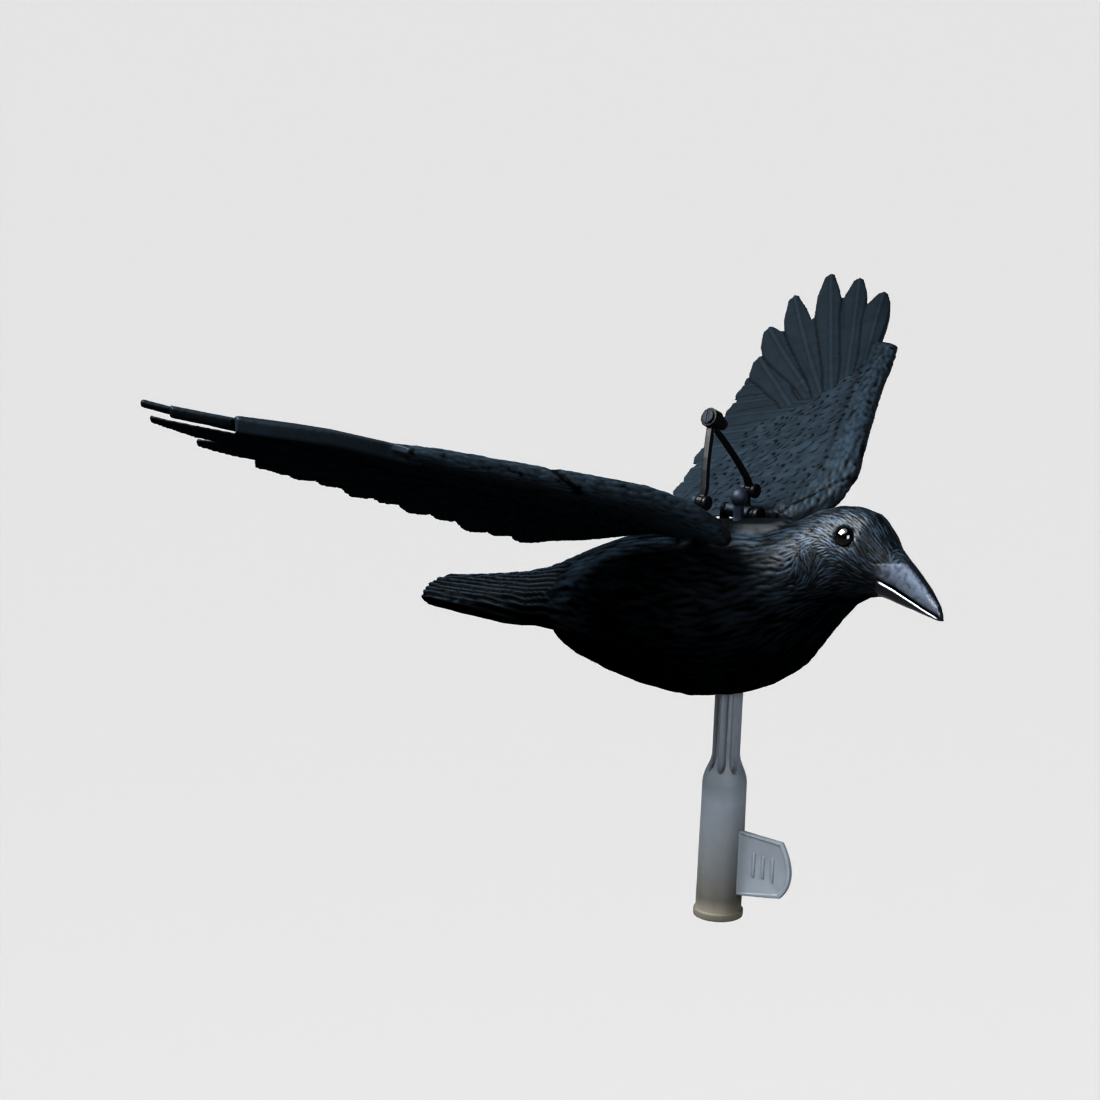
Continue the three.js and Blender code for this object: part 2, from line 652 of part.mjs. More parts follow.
function strutSolid(side) {
  const foot = strutFoot(side);
  const eyeFront = FOOT_FRONT;
  const eye = bar(vec(FOOT_BACK, foot.y, foot.z), vec(eyeFront, foot.y, foot.z), FOOT_EYE / 2);
  let strut;
  if (side < 0) {
    const top = hub.clone().addScaledVector(barrelAxis, BARREL_LENGTH / 2);
    strut = strutBar(side, top).add(bar(barrelNear, barrelFar, BARREL_DIAMETER / 2));
    strut = strut.subtract(bar(
      barrelNear.clone().addScaledVector(barrelAxis, 1),
      barrelFar.clone().addScaledVector(barrelAxis, -1),
      HUB_PIN / 2 + SEAT_GAP,
    ));
  } else {
    const middle = hubEyeNear.clone().add(hubEyeFar).multiplyScalar(0.5);
    const neck = middle.clone().addScaledVector(strutLean, -HUB_NECK);
    strut = strutBar(side, neck).add(bar(hubEyeNear, hubEyeFar, HUB_EYE / 2));
    strut = strut.add(bar(neck.clone().addScaledVector(strutLean, -1), middle, STRUT_THICKNESS / 2));
    strut = strut.subtract(bar(
      hubEyeNear.clone().addScaledVector(barrelAxis, 3),
      hubEyeFar.clone().addScaledVector(barrelAxis, -3),
      HUB_PIN / 2 + HUB_EYE_PLAY,
    ));
  }
  strut = strut.add(eye);
  return strut.subtract(bar(
    vec(FOOT_BACK - 1, foot.y, foot.z),
    vec(eyeFront + 1, foot.y, foot.z),
    FOOT_PIN / 2 + TURNING_GAP,
  ));
}

function hubPinSolid() {
  const headBase = barrelNear.clone().addScaledVector(barrelAxis, SEAT_GAP);
  const headTop = headBase.clone().addScaledVector(barrelAxis, HUB_HEAD_WIDTH);
  const flangeNear = hubEyeFar.clone().addScaledVector(barrelAxis, -HUB_SIDE_PLAY);
  const flangeFar = flangeNear.clone().addScaledVector(barrelAxis, -HUB_FLANGE_WIDTH);
  const slotSide = barrelAxis.clone().cross(strutLean);
  const slot = [];
  for (const end of [-1, 1]) {
    const middle = headTop.clone().addScaledVector(strutLean, end * HUB_HEAD);
    slot.push([[-1, -1], [1, -1], [1, 1], [-1, 1]].map(([a, b]) => middle.clone()
      .addScaledVector(slotSide, a * SLOT_WIDTH / 2)
      .addScaledVector(barrelAxis, b * SLOT_DEPTH)));
  }
  return bar(headTop, flangeFar, HUB_PIN / 2)
    .add(bar(headBase, headTop, HUB_HEAD / 2))
    .add(bar(flangeNear, flangeFar, HUB_FLANGE / 2))
    .subtract(skin(slot));
}

// Grey moulding: pole socket, fluted stem, post with its ball, and the side tab.
function stemSolid() {
  const bore = (POLE_DIAMETER + POLE_CLEARANCE) / 2;
  const outer = bore + SOCKET_WALL;
  const rim = outer + RIM_OVERHANG;
  const stem = STEM_DIAMETER / 2;
  const post = POST_DIAMETER / 2;
  const ball = BALL_DIAMETER / 2;
  const ballMiddle = BACK_HEIGHT + BALL_ABOVE_BACK;
  const profile = [[0, SOCKET_DEPTH], [bore, SOCKET_DEPTH], [bore, 0], [rim - RIM_ROUND, 0], [rim, RIM_ROUND]];
  profile.push([rim, RIM_HEIGHT - RIM_ROUND], [rim - RIM_ROUND, RIM_HEIGHT], [outer, RIM_HEIGHT]);
  const shoulderSteps = 4;
  for (let k = 0; k <= shoulderSteps; k += 1) {
    const t = k / shoulderSteps;
    const ease = (1 - Math.cos(Math.PI * t)) / 2;
    profile.push([lerp(outer - SOCKET_TAPER, stem, ease), SOCKET_HEIGHT + SHOULDER_HEIGHT * t]);
  }
  profile.push([stem, STEM_TOP - STEM_CHAMFER], [stem - STEM_CHAMFER, STEM_TOP], [post, STEM_TOP]);
  const neck = Math.asin(post / ball);
  const ballSteps = 4;
  for (let k = 0; k <= ballSteps; k += 1) {
    const turn = lerp(Math.PI - neck, 0, k / ballSteps);
    profile.push([k === ballSteps ? 0 : ball * Math.sin(turn), ballMiddle + ball * Math.cos(turn)]);
  }
  let shape = turned(profile);
  for (let k = 0; k < FLUTE_COUNT; k += 1) {
    const turn = 2 * Math.PI * (k + 0.5) / FLUTE_COUNT;
    const reach = stem + FLUTE_RADIUS - FLUTE_BITE;
    const x = reach * Math.cos(turn);
    const y = reach * Math.sin(turn);
    shape = shape.subtract(bar(vec(x, y, SOCKET_HEIGHT), vec(x, y, STEM_TOP - FLUTE_STOP), FLUTE_RADIUS, 8));
  }
  return shape.add(tabSolid(outer));
}

// Plate in the tab's outline, drawn in by an inset, from one side of the middle to the other.
function tabPlate(root, inset, from, to) {
  const low = TAB_BOTTOM + inset;
  const high = TAB_BOTTOM + TAB_HEIGHT - inset;
  const end = TAB_REACH - TAB_CORNER - inset;
  const shape = new THREE.Shape();
  shape.moveTo(root, low);
  shape.lineTo(end, low + TAB_TAPER);
  shape.quadraticCurveTo(TAB_REACH + TAB_CORNER - inset, (low + high) / 2, end, high);
  shape.lineTo(root, high);
  shape.closePath();
  const plate = new THREE.ExtrudeGeometry(shape, { depth: to - from, bevelEnabled: false, curveSegments: 8 });
  plate.rotateX(Math.PI / 2);
  plate.translate(0, to, 0);
  return solid(plate);
}

// Flat tab with a raised edge and a row of shallow raised strokes on both faces.
function tabSolid(outer) {
  const face = TAB_THICKNESS / 2;
  const edge = face + TAB_RELIEF;
  const start = outer + TAB_EDGE;
  const end = TAB_REACH - 2 * TAB_EDGE;
  const middle = TAB_BOTTOM + (TAB_HEIGHT + TAB_TAPER) / 2;
  let tab = tabPlate(outer - SOCKET_WALL / 2, 0, -edge, edge);
  for (const side of [1, -1]) {
    const [low, high] = side > 0 ? [face, 2 * edge] : [-2 * edge, -face];
    tab = tab.subtract(tabPlate(start, TAB_EDGE, low, high));
    for (let k = 0; k < STROKE_COUNT; k += 1) {
      const x = lerp(start, end, (k + 0.5) / STROKE_COUNT);
      const tall = TAB_HEIGHT / 4;
      const deep = [side * (face - TAB_RELIEF), side * edge].sort((a, b) => a - b);
      tab = tab.add(box(x - STROKE_WIDTH / 2, x + STROKE_WIDTH / 2, ...deep, middle - tall, middle + tall));
    }
  }
  return tab;
}

const BLACK = { color: 0x23282f, roughness: 0.72, metalness: 0 };
const LINK_BLACK = { color: 0x17191d, roughness: 0.5, metalness: 0 };
const GREY = { color: 0x7f8283, roughness: 0.55, metalness: 0 };
const EYE_BLACK = { color: 0x07080a, roughness: 0.08, metalness: 0 };

const part = new THREE.Group();
part.name = 'crow_decoy';

function place(name, shape, look) {
  const mesh = new THREE.Mesh(geometryOf(shape), new THREE.MeshStandardMaterial(look));
  mesh.name = name;
  part.add(mesh);
}

place('stem_socket', stemSolid(), GREY);
place('body', bodySolid(), BLACK);
for (const [label, side] of [['left', 1], ['right', -1]]) {
  place(`eye_${label}`, eyeSolid(side), EYE_BLACK);
  place(`wing_${label}`, wingSolid(side), BLACK);
  place(`hinge_pin_${label}`, headedPin(
    side * HINGE_OUT,
    HINGE_HEIGHT,
    KNUCKLE_FRONT + SEAT_GAP,
    hingeBack(),
    HINGE_PIN / 2,
    HINGE_HEAD / 2,
    HINGE_HEAD_WIDTH,
  ), LINK_BLACK);
  place(`foot_pin_${label}`, headedPin(
    side * LUG_OUT,
    LUG_HEIGHT,
    FOOT_FRONT + SEAT_GAP,
    FOOT_BACK - SEAT_GAP - LUG_WIDTH,
    FOOT_PIN / 2,
    FOOT_HEAD / 2,
    FOOT_HEAD_WIDTH,
  ), LINK_BLACK);
  place(`strut_${label}`, strutSolid(side), LINK_BLACK);
}
place('hub_pin', hubPinSolid(), GREY);

export default part;
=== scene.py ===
import math
import random

import bmesh
import bpy
import numpy as np
from mathutils import Matrix, Vector, kdtree, noise


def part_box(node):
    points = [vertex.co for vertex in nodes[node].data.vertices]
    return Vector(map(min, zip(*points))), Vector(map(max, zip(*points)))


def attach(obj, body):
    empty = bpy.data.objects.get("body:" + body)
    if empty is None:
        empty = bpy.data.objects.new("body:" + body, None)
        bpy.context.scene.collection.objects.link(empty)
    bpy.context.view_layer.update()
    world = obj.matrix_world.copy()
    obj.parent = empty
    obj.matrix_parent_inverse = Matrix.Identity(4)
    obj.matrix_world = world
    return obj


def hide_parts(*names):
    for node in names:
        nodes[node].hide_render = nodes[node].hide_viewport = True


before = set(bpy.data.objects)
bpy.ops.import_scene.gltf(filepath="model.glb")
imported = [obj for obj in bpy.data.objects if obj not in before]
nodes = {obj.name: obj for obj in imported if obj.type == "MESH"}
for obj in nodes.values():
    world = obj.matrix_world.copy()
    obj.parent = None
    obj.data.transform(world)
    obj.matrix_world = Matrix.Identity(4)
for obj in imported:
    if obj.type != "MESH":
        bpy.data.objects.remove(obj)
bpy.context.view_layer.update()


# Stem and pole socket: one moulding in grey polypropylene, slipped over the pole's end and
# pushed up through the belly, so that its post and ball stand out of the back.
MM = 0.001
SOCKET_BORE = 12.75 * MM
SOCKET_OUTER = 15.85 * MM
SOCKET_NECK = 15.25 * MM
SOCKET_DEPTH = 86 * MM
SOCKET_TOP = 96 * MM
RIM_OUTER = 17.2 * MM
RIM_TALL = 5.5 * MM
RIM_SOFT = 1.1 * MM
SHOULDER_TALL = 22 * MM
STEM_OUTER = 9.5 * MM
STEM_TOP = 227 * MM
FLUTES = 8
FLUTE_ROUND = 2.6 * MM
FLUTE_BITE = 1.7 * MM
POST_ROUND = 3.5 * MM
BALL_ROUND = 6.25 * MM
TURN_STEPS = 160
SHOULDER_RINGS = 64
RIM_STEPS = 4
RIM_FOOT = 0.3 * MM
BALL_STEPS = 24
# The shader's tints run from the socket's mouth to this height.
TINTS_TALL = 0.3
MOTTLE_WIDE = 11.11 * MM
GRAIN_WIDE = 0.7143 * MM
# Points nearer than this are joined.
TOUCH = 1e-6


def linear(colour):
    """An sRGB hex colour as the linear values that a shader takes."""
    parts = [int(colour[i : i + 2], 16) / 255 for i in (0, 2, 4)]
    return [p / 12.92 if p <= 0.04045 else ((p + 0.055) / 1.055) ** 2.4 for p in parts] + [1]


def feed(tree, node, links):
    """Joins or sets a node's inputs."""
    for name, value in links.items():
        if isinstance(value, bpy.types.NodeSocket):
            tree.links.new(value, node.inputs[name])
        else:
            node.inputs[name].default_value = value


def add(tree, kind, settings=None, links=None):
    """Adds a node with its settings and its inputs joined or set."""
    node = tree.nodes.new(kind)
    for name, value in (settings or {}).items():
        setattr(node, name, value)
    feed(tree, node, links or {})
    return node


def new_material(name):
    """A material with its node tree and its surface shader."""
    material = bpy.data.materials.new(name)
    material.use_nodes = True
    return material, material.node_tree, material.node_tree.nodes["Principled BSDF"]


def mesh_of(bm, name):
    """Turns a finished bmesh into a mesh."""
    mesh = bpy.data.meshes.new(name)
    bm.to_mesh(mesh)
    bm.free()
    return mesh


def piece_of(mesh, name, material, body, slot, *replaced, crease=None):
    """Makes a mesh a piece that rides on a body and stands for its solids."""
    mesh.materials.clear()
    mesh.materials.append(material)
    mesh.shade_smooth()
    if crease:
        mesh.set_sharp_from_angle(angle=math.radians(crease))
    piece = bpy.data.objects.new(name, mesh)
    bpy.context.scene.collection.objects.link(piece)
    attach(piece, body)
    if replaced:
        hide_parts(*replaced)
    return piece


def arc(middle, radius, start, end, steps):
    """Points on an arc in the X and Z plane, angles in degrees from +X toward +Z."""
    turns = [math.radians(start + (end - start) * k / steps) for k in range(steps + 1)]
    return [
        (middle[0] + radius * math.cos(t), 0, middle[1] + radius * math.sin(t)) for t in turns
    ]


def turned(points, steps):
    """A form turned about the Z axis from its half section."""
    bm = bmesh.new()
    verts = [bm.verts.new(point) for point in points]
    edges = [bm.edges.new(pair) for pair in zip(verts, verts[1:])]
    bmesh.ops.spin(
        bm,
        geom=verts + edges,
        cent=(0, 0, 0),
        axis=(0, 0, 1),
        angle=2 * math.pi,
        steps=steps,
        use_merge=True,
    )
    bmesh.ops.remove_doubles(bm, verts=bm.verts, dist=TOUCH)
    bmesh.ops.recalc_face_normals(bm, faces=bm.faces)
    return bm


def stem_profile():
    """The moulding's half section from the bore's floor, round the rim and up to the ball."""
    ball_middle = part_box("stem_socket")[1].z - BALL_ROUND
    points = [(0, 0, SOCKET_DEPTH), (SOCKET_BORE - RIM_SOFT, 0, SOCKET_DEPTH)]
    points += [(SOCKET_BORE, 0, SOCKET_DEPTH - RIM_SOFT), (SOCKET_BORE, 0, RIM_SOFT)]
    points += arc((SOCKET_BORE + RIM_SOFT, RIM_SOFT), RIM_SOFT, 180, 270, RIM_STEPS)
    points += arc((RIM_OUTER - RIM_SOFT, RIM_SOFT), RIM_SOFT, -90, 0, RIM_STEPS)
    points += arc((RIM_OUTER - RIM_SOFT, RIM_TALL - RIM_SOFT), RIM_SOFT, 0, 90, RIM_STEPS)
    points += [(SOCKET_OUTER, 0, RIM_TALL + RIM_FOOT)]
    for k in range(SHOULDER_RINGS + 1):
        ease = (1 - math.cos(math.pi * k / SHOULDER_RINGS)) / 2
        radius = SOCKET_NECK + (STEM_OUTER - SOCKET_NECK) * ease
        points.append((radius, 0, SOCKET_TOP + SHOULDER_TALL * k / SHOULDER_RINGS))
    points += [(STEM_OUTER, 0, STEM_TOP - RIM_SOFT), (STEM_OUTER - RIM_SOFT, 0, STEM_TOP)]
    points += [(POST_ROUND, 0, STEM_TOP)]
    neck = math.degrees(math.acos(POST_ROUND / BALL_ROUND))
    points += arc((0, ball_middle), BALL_ROUND, -neck, 90, BALL_STEPS)[:-1]
    return points + [(0, 0, ball_middle + BALL_ROUND)]


def cut_flutes(bm):
    """Draws the stem's skin in along the flutes, which run out on the shoulder in arches."""
    reach = STEM_OUTER + FLUTE_ROUND - FLUTE_BITE
    pitch = 2 * math.pi / FLUTES
    for vert in bm.verts:
        radius = math.hypot(vert.co.x, vert.co.y)
        if radius < STEM_OUTER - RIM_SOFT or not SOCKET_TOP < vert.co.z < STEM_TOP - RIM_SOFT:
            continue
        off = (math.atan2(vert.co.y, vert.co.x) % pitch) - pitch / 2
        inside = FLUTE_ROUND**2 - (reach * math.sin(off)) ** 2
        if inside <= 0:
            continue
        near = reach * math.cos(off) - math.sqrt(inside)
        far = reach * math.cos(off) + math.sqrt(inside)
        if near < radius < far:
            vert.co.x *= near / radius
            vert.co.y *= near / radius


def stem_material(name, tints):
    """Grey polypropylene, moulded: satin and milky, its tint changing with height."""
    material, tree, shader = new_material(name)
    place = add(tree, "ShaderNodeTexCoord").outputs["Object"]
    height = add(tree, "ShaderNodeSeparateXYZ", {}, {"Vector": place}).outputs["Z"]
    share = add(
        tree, "ShaderNodeMapRange", {}, {"Value": height, "From Min": 0, "From Max": TINTS_TALL}
    ).outputs["Result"]
    ramp = add(tree, "ShaderNodeValToRGB", {}, {"Fac": share})
    ramp.color_ramp.elements.remove(ramp.color_ramp.elements[1])
    ramp.color_ramp.elements[0].color = linear(tints[0][1])
    for at, tint in tints:
        ramp.color_ramp.elements.new(at).color = linear(tint)
    mottle = add(
        tree,
        "ShaderNodeTexNoise",
        {},
        {"Vector": place, "Scale": 1 / MOTTLE_WIDE, "Detail": 4, "Roughness": 0.6},
    ).outputs["Fac"]
    spread = add(
        tree, "ShaderNodeMapRange", {}, {"Value": mottle, "To Min": 0.88, "To Max": 1.1}
    ).outputs["Result"]
    colour = add(
        tree,
        "ShaderNodeVectorMath",
        {"operation": "SCALE"},
        {"Vector": ramp.outputs["Color"], "Scale": spread},
    ).outputs["Vector"]
    grain = add(
        tree, "ShaderNodeTexNoise", {}, {"Vector": place, "Scale": 1 / GRAIN_WIDE, "Detail": 2}
    ).outputs["Fac"]
    bump = add(
        tree, "ShaderNodeBump", {}, {"Height": grain, "Strength": 0.1, "Distance": 0.0004}
    ).outputs["Normal"]
    rough = add(
        tree, "ShaderNodeMapRange", {}, {"Value": mottle, "To Min": 0.5, "To Max": 0.65}
    ).outputs["Result"]
    feed(tree, shader, {"Base Color": colour, "Roughness": rough, "Normal": bump})
    feed(tree, shader, {"IOR": 1.49, "Specular IOR Level": 0.25})
    feed(tree, shader, {"Subsurface Weight": 0.1, "Subsurface Radius": (2 * MM,) * 3})
    return material


# Share of the height and tint there: yellowed at the mouth, bluish and dark at the ball.
STEM_TINTS = (
    (0.02, "54524c"),
    (0.05, "3f3e3b"),
    (0.28, "656a70"),
    (0.36, "5b6065"),
    (0.7, "6a6e74"),
    (0.88, "525f74"),
    (0.95, "101722"),
)
stem = turned(stem_profile(), TURN_STEPS)
cut_flutes(stem)
stem_finish = stem_material("moulded_grey_polypropylene", STEM_TINTS)
piece_of(mesh_of(stem, "stem"), "stem", stem_finish, "stand", "stem_grey", "stem_socket", crease=40)


# Side tab: a thin plate moulded with the socket, its faces sunk inside a raised edge, with
# three raised strokes where the maker's figure would be.
TAB_THICK = 3 * MM
TAB_SUNK = 0.8 * MM
TAB_REACH = 60 * MM
TAB_LOW = 18 * MM
TAB_TALL = 47 * MM
TAB_TAPER = 7 * MM
TAB_EDGE = 2.5 * MM
TAB_CORNER = 8 * MM
TAB_ROOT = 1.5 * MM
TAB_SLOPE = 0.5 * MM
TAB_SOFT = 0.3 * MM
BEND_STEPS = 20
# Edges that turn by more than this, in radians, are rounded.
SHARP = 0.6
# Where each stroke stands along the tab and how tall it is, in millimetres.
TAB_STROKES = ((29, 18), (37, 16), (45, 17))
STROKE_WIDE = 2 * MM
STROKE_DEEP = 1.6 * MM
STROKE_MIDDLE = 43.5 * MM
STROKE_SOFT = 0.5 * MM


def tab_outline():
    """The tab's outline seen from the side."""
    low = TAB_LOW
    high = TAB_LOW + TAB_TALL
    start = Vector((TAB_REACH - TAB_CORNER, 0, low + TAB_TAPER))
    bend = Vector((TAB_REACH + TAB_CORNER, 0, (low + high) / 2))
    stop = Vector((TAB_REACH - TAB_CORNER, 0, high))
    root = SOCKET_OUTER - TAB_ROOT
    points = [Vector((root, 0, low)), start]
    for k in range(1, BEND_STEPS):
        t = k / BEND_STEPS
        points.append(start * (1 - t) ** 2 + bend * 2 * t * (1 - t) + stop * t * t)
    return points + [stop, Vector((root, 0, high))]


def rounded(bm, edges, size, segments):
    """Rounds edges."""
    bmesh.ops.bevel(
        bm,
        geom=list(edges),
        offset=size,
        affect="EDGES",
        segments=segments,
        profile=0.5,
        material=-1,
    )


plate = bmesh.new()
outline = [plate.verts.new(point + Vector((0, -TAB_THICK / 2, 0))) for point in tab_outline()]
grown = bmesh.ops.extrude_face_region(plate, geom=[plate.faces.new(outline)])["geom"]
moved = [g for g in grown if isinstance(g, bmesh.types.BMVert)]
bmesh.ops.translate(plate, verts=moved, vec=(0, TAB_THICK, 0))
bmesh.ops.recalc_face_normals(plate, faces=plate.faces)
for flat in sorted(plate.faces, key=lambda f: -f.calc_area())[:2]:
    bmesh.ops.inset_region(plate, faces=[flat], thickness=TAB_EDGE)
    bmesh.ops.inset_region(plate, faces=[flat], thickness=TAB_SLOPE, depth=-TAB_SUNK)
rounded(plate, [e for e in plate.edges if e.calc_face_angle(0) > SHARP], TAB_SOFT, 2)
for side in (-1, 1):
    for reach, tall in TAB_STROKES:
        bar = bmesh.ops.create_cube(plate, size=1)["verts"]
        bmesh.ops.scale(plate, verts=bar, vec=(STROKE_WIDE, STROKE_DEEP, tall * MM))
        middle = Vector((reach * MM, side * (TAB_THICK / 2 - TAB_SUNK), STROKE_MIDDLE))
        bmesh.ops.translate(plate, verts=bar, vec=middle)
        rounded(plate, {e for v in bar for e in v.link_edges}, STROKE_SOFT, 3)
tab_finish = stem_material("moulded_grey_polypropylene_tab", ((0.1, "63686d"), (0.2, "6b7075")))
piece_of(mesh_of(plate, "tab"), "side_tab", tab_finish, "stand", "stem_grey", crease=30)


# Body: a hollow moulding in black polyethylene, head, breast and tail in one, with the
# plumage cut into the mould. The feathers are dull, and the bill is smooth and glossy.
# The solid is meshed evenly, its facets are eased out and the plumage is cut into its skin.
BODY_VOXEL = 2 * MM
# What stays as crisp as the solid: the hinges' seats, a ring round each eye, the bill, the
# tail, its end and the step under its root.
SEAT_OUT = 24 * MM
SEAT_HALF = 6.5 * MM
SEAT_BACK = -35 * MM
SEAT_FRONT = 3 * MM
SEAT_LOW = 268 * MM
EYE_KEPT = 9 * MM
BILL_FROM = 118 * MM
BILL_FULL = 128 * MM
TAIL_FROM = -125 * MM
TAIL_FULL = -140 * MM
END_FROM = -245 * MM
END_FULL = -258 * MM
STEP_EDGE = -133 * MM
STEP_WIDE = 9 * MM
STEP_HIGH = 200 * MM
# The skin is split finer ahead of and above each of these places.
FINE_FROM = Vector((-5, 0, 158)) * MM
FINEST_FROM = Vector((66, 0, 225)) * MM
GAPE = Vector((126, 0, 268)) * MM
GAPE_TIP = Vector((167, 0, 248.5)) * MM
GAPE_OPEN = 2.3 * MM
GAPE_WIDE = 40 * MM
# The bill's horn begins here, and the head's locks run out over its base above NASAL_LOW.
HORN_BACK = 123 * MM
HORN_LEAN = 279 * MM
NASAL_LOW = 278 * MM
NASAL_FRONT = 143 * MM
RAGGED = 1.2 * MM
# The painted highlight on the lower bill's rim: how far below the gape's line it lies, and its half
# width.
RIM_HIGHLIGHT_BELOW = 1.7 * MM
RIM_HIGHLIGHT_HALF = 0.75 * MM
EAR = Vector((80, 30, 272)) * MM
EAR_REACH = 12 * MM
# The locks grow longer, wider and higher with their distance from the gape.
LOCK_HALF = (0.12, 4.5 * MM, 14 * MM)
LOCK_WIDE = (0.026, 1.15 * MM, 2.8 * MM)
LOCK_HIGH = (0.02, 0.8 * MM, 1.7 * MM)
PATCH = Vector((12, 0, 278)) * MM
PATCH_REACH = np.array((58, 16, 14)) * MM
PATCH_RISE = 5.2 * MM
TAIL_ROOT = -132 * MM
TAIL_BLEND = 6 * MM
TAIL_PITCH = 5 * MM
CLOUD_WIDE = 7.692 * MM
PITTING_WIDE = 1.111 * MM


def merged_copy(node):
    """A solid's mesh with its loose triangles joined, as a bmesh."""
    bm = bmesh.new()
    bm.from_mesh(nodes[node].data)
    bmesh.ops.remove_doubles(bm, verts=bm.verts, dist=TOUCH)
    return bm


def through(mesh, kind, settings):
    """The mesh that one modifier makes of a mesh."""
    block = bpy.data.objects.new("block", mesh)
    bpy.context.scene.collection.objects.link(block)
    modifier = block.modifiers.new("change", kind)
    for key, value in settings.items():
        setattr(modifier, key, value)
    depsgraph = bpy.context.evaluated_depsgraph_get()
    made = bpy.data.meshes.new_from_object(block.evaluated_get(depsgraph))
    bpy.data.objects.remove(block)
    bpy.data.meshes.remove(mesh)
    return made


def even_mesh(node, voxel):
    """A solid's form in small even faces."""
    solid = mesh_of(merged_copy(node), node)
    return through(solid, "REMESH", {"mode": "VOXEL", "voxel_size": voxel})


def column(elements, name, kind, width):
    """One property of all elements as an array."""
    flat = np.empty(len(elements) * width, kind)
    elements.foreach_get(name, flat)
    return flat.reshape(-1, width)


def points_of(mesh):
    """A mesh's points."""
    return column(mesh.vertices, "co", float, 3)


def normals_of(mesh):
    """The outward direction at each point of a mesh."""
    mesh.update()
    return column(mesh.vertex_normals, "vector", float, 3)


def set_points(mesh, points, node=None):
    """Moves a mesh's points, inside the box of a solid if one is named."""
    if node:
        low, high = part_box(node)
        points = np.clip(points, np.array(low), np.array(high))
    mesh.vertices.foreach_set("co", points.ravel())
    mesh.update()


def step(low, high, value):
    """0 on low's side, 1 on high's side and a soft rise between."""
    t = np.clip((value - low) / (high - low), 0, 1)
    return t * t * (3 - 2 * t)


def ease_out(mesh, rounds, hold):
    """Eases facets out: draws each point toward its neighbours, then nearly as far back."""
    points = points_of(mesh)
    pairs = column(mesh.edges, "vertices", int, 2)
    size = len(points)
    count = np.maximum(np.bincount(pairs.ravel(), minlength=size), 1)
    free = np.broadcast_to(1 - hold, size)[:, None]
    for pull in (0.5, -0.53) * rounds:
        middle = np.empty_like(points)
        for axis in range(3):
            there = np.bincount(pairs[:, 0], points[pairs[:, 1], axis], size)
            back = np.bincount(pairs[:, 1], points[pairs[:, 0], axis], size)
            middle[:, axis] = (there + back) / count
        points = points + pull * free * (middle - points)
    set_points(mesh, points)


def split_where(mesh, wanted):
    """Splits in four each face whose points are all wanted."""
    mask = wanted(*points_of(mesh).T)
    bm = bmesh.new()
    bm.from_mesh(mesh)
    edges = [e for e in bm.edges if mask[e.verts[0].index] and mask[e.verts[1].index]]
    bmesh.ops.subdivide_edges(bm, edges=edges, cuts=1, use_grid_fill=True)
    bm.to_mesh(mesh)
    bm.free()


def tree_of(points):
    """A search tree of the points."""
    tree = kdtree.KDTree(len(points))
    for index, point in enumerate(points):
        tree.insert(point, index)
    tree.balance()
    return tree


def around(tree, point, reach):
    """The points of a search tree that are near a point."""
    return np.array([found[1] for found in tree.find_range(point, reach)])


def lay_locks(mesh, where, lie, seed):
    """Covers a skin with overlapping locks, small leaf shapes that lie along a flow.
    lie gives the flow, half length, half width and height at a point."""
    chance = random.Random(seed)
    points = points_of(mesh)
    normals = normals_of(mesh)
    tree = tree_of(points)
    relief = np.zeros(len(points))
    covered = ~where
    order = list(np.flatnonzero(where))
    chance.shuffle(order)
    for pick in order:
        if covered[pick]:
            continue
        normal = normals[pick]
        way, half, wide, high = lie(points[pick])
        way = way - normal * (way @ normal)
        way = way / max(np.linalg.norm(way), 1e-9)
        near = around(tree, points[pick], half)
        away = points[near] - points[pick]
        along = away @ way / half
        bend = chance.uniform(-0.15, 0.15) * half / wide
        across = away @ np.cross(normal, way) / wide + bend * along**2
        facing = normals[near] @ normal > 0.2
        crown = np.sqrt(np.clip(1 - across**2, 0, 1))
        ends = np.clip(1 - along**2, 0, 1) ** 0.4
        rise = high * chance.uniform(0.6, 1) * crown * ends * facing
        relief[near] = np.maximum(relief[near], rise)
        covered[near[(np.abs(across) < 1.35) & (np.abs(along) < 0.6) & facing]] = True
        covered[pick] = True
    return relief


def grown(size, reach):
    """A lock's size at a distance from the gape, from its share, least and most."""
    share, least, most = size
    return np.clip(share * reach, least, most)


def tail_ridges(points):
    """Long wavy ridges along the tail, 1 on their crests."""
    round_about = points[:, 2] - 0.8 * np.abs(points[:, 1])
    sway = np.array([noise.noise(Vector((p[0] * 45, p[1] * 90, p[2] * 90))) for p in points])
    phase = (round_about / TAIL_PITCH + 0.35 * sway) * 2 * math.pi
    return (0.5 + 0.5 * np.cos(phase)) ** 0.8


def plumage_lie(point):
    """Flow, half length, half width and height of the plumage at a point of the body."""
    away = point - np.array(GAPE)
    reach = float(np.linalg.norm(away))
    front = float(step(-0.03, 0.05, point[0]))
    flow = away / max(reach, 1e-9) * front + np.array((-1.0, 0, -0.1)) * (1 - front)
    sway = noise.noise(Vector(point) * 75) + 0.5 * noise.noise(Vector(point) * 190)
    ear = (Vector((point[0], abs(point[1]), point[2])) - EAR).length
    at_ear = math.exp(-((ear / EAR_REACH) ** 2))
    turn = 0.55 * sway + 2.6 * at_ear * math.copysign(1, point[1])
    flow = np.array(Matrix.Rotation(turn, 3, "Y") @ Vector(flow))
    whorl = 1 - 0.35 * at_ear
    half = float(grown(LOCK_HALF, reach)) * whorl
    wide = float(grown(LOCK_WIDE, reach)) * whorl
    return flow, half, wide, float(grown(LOCK_HIGH, reach))


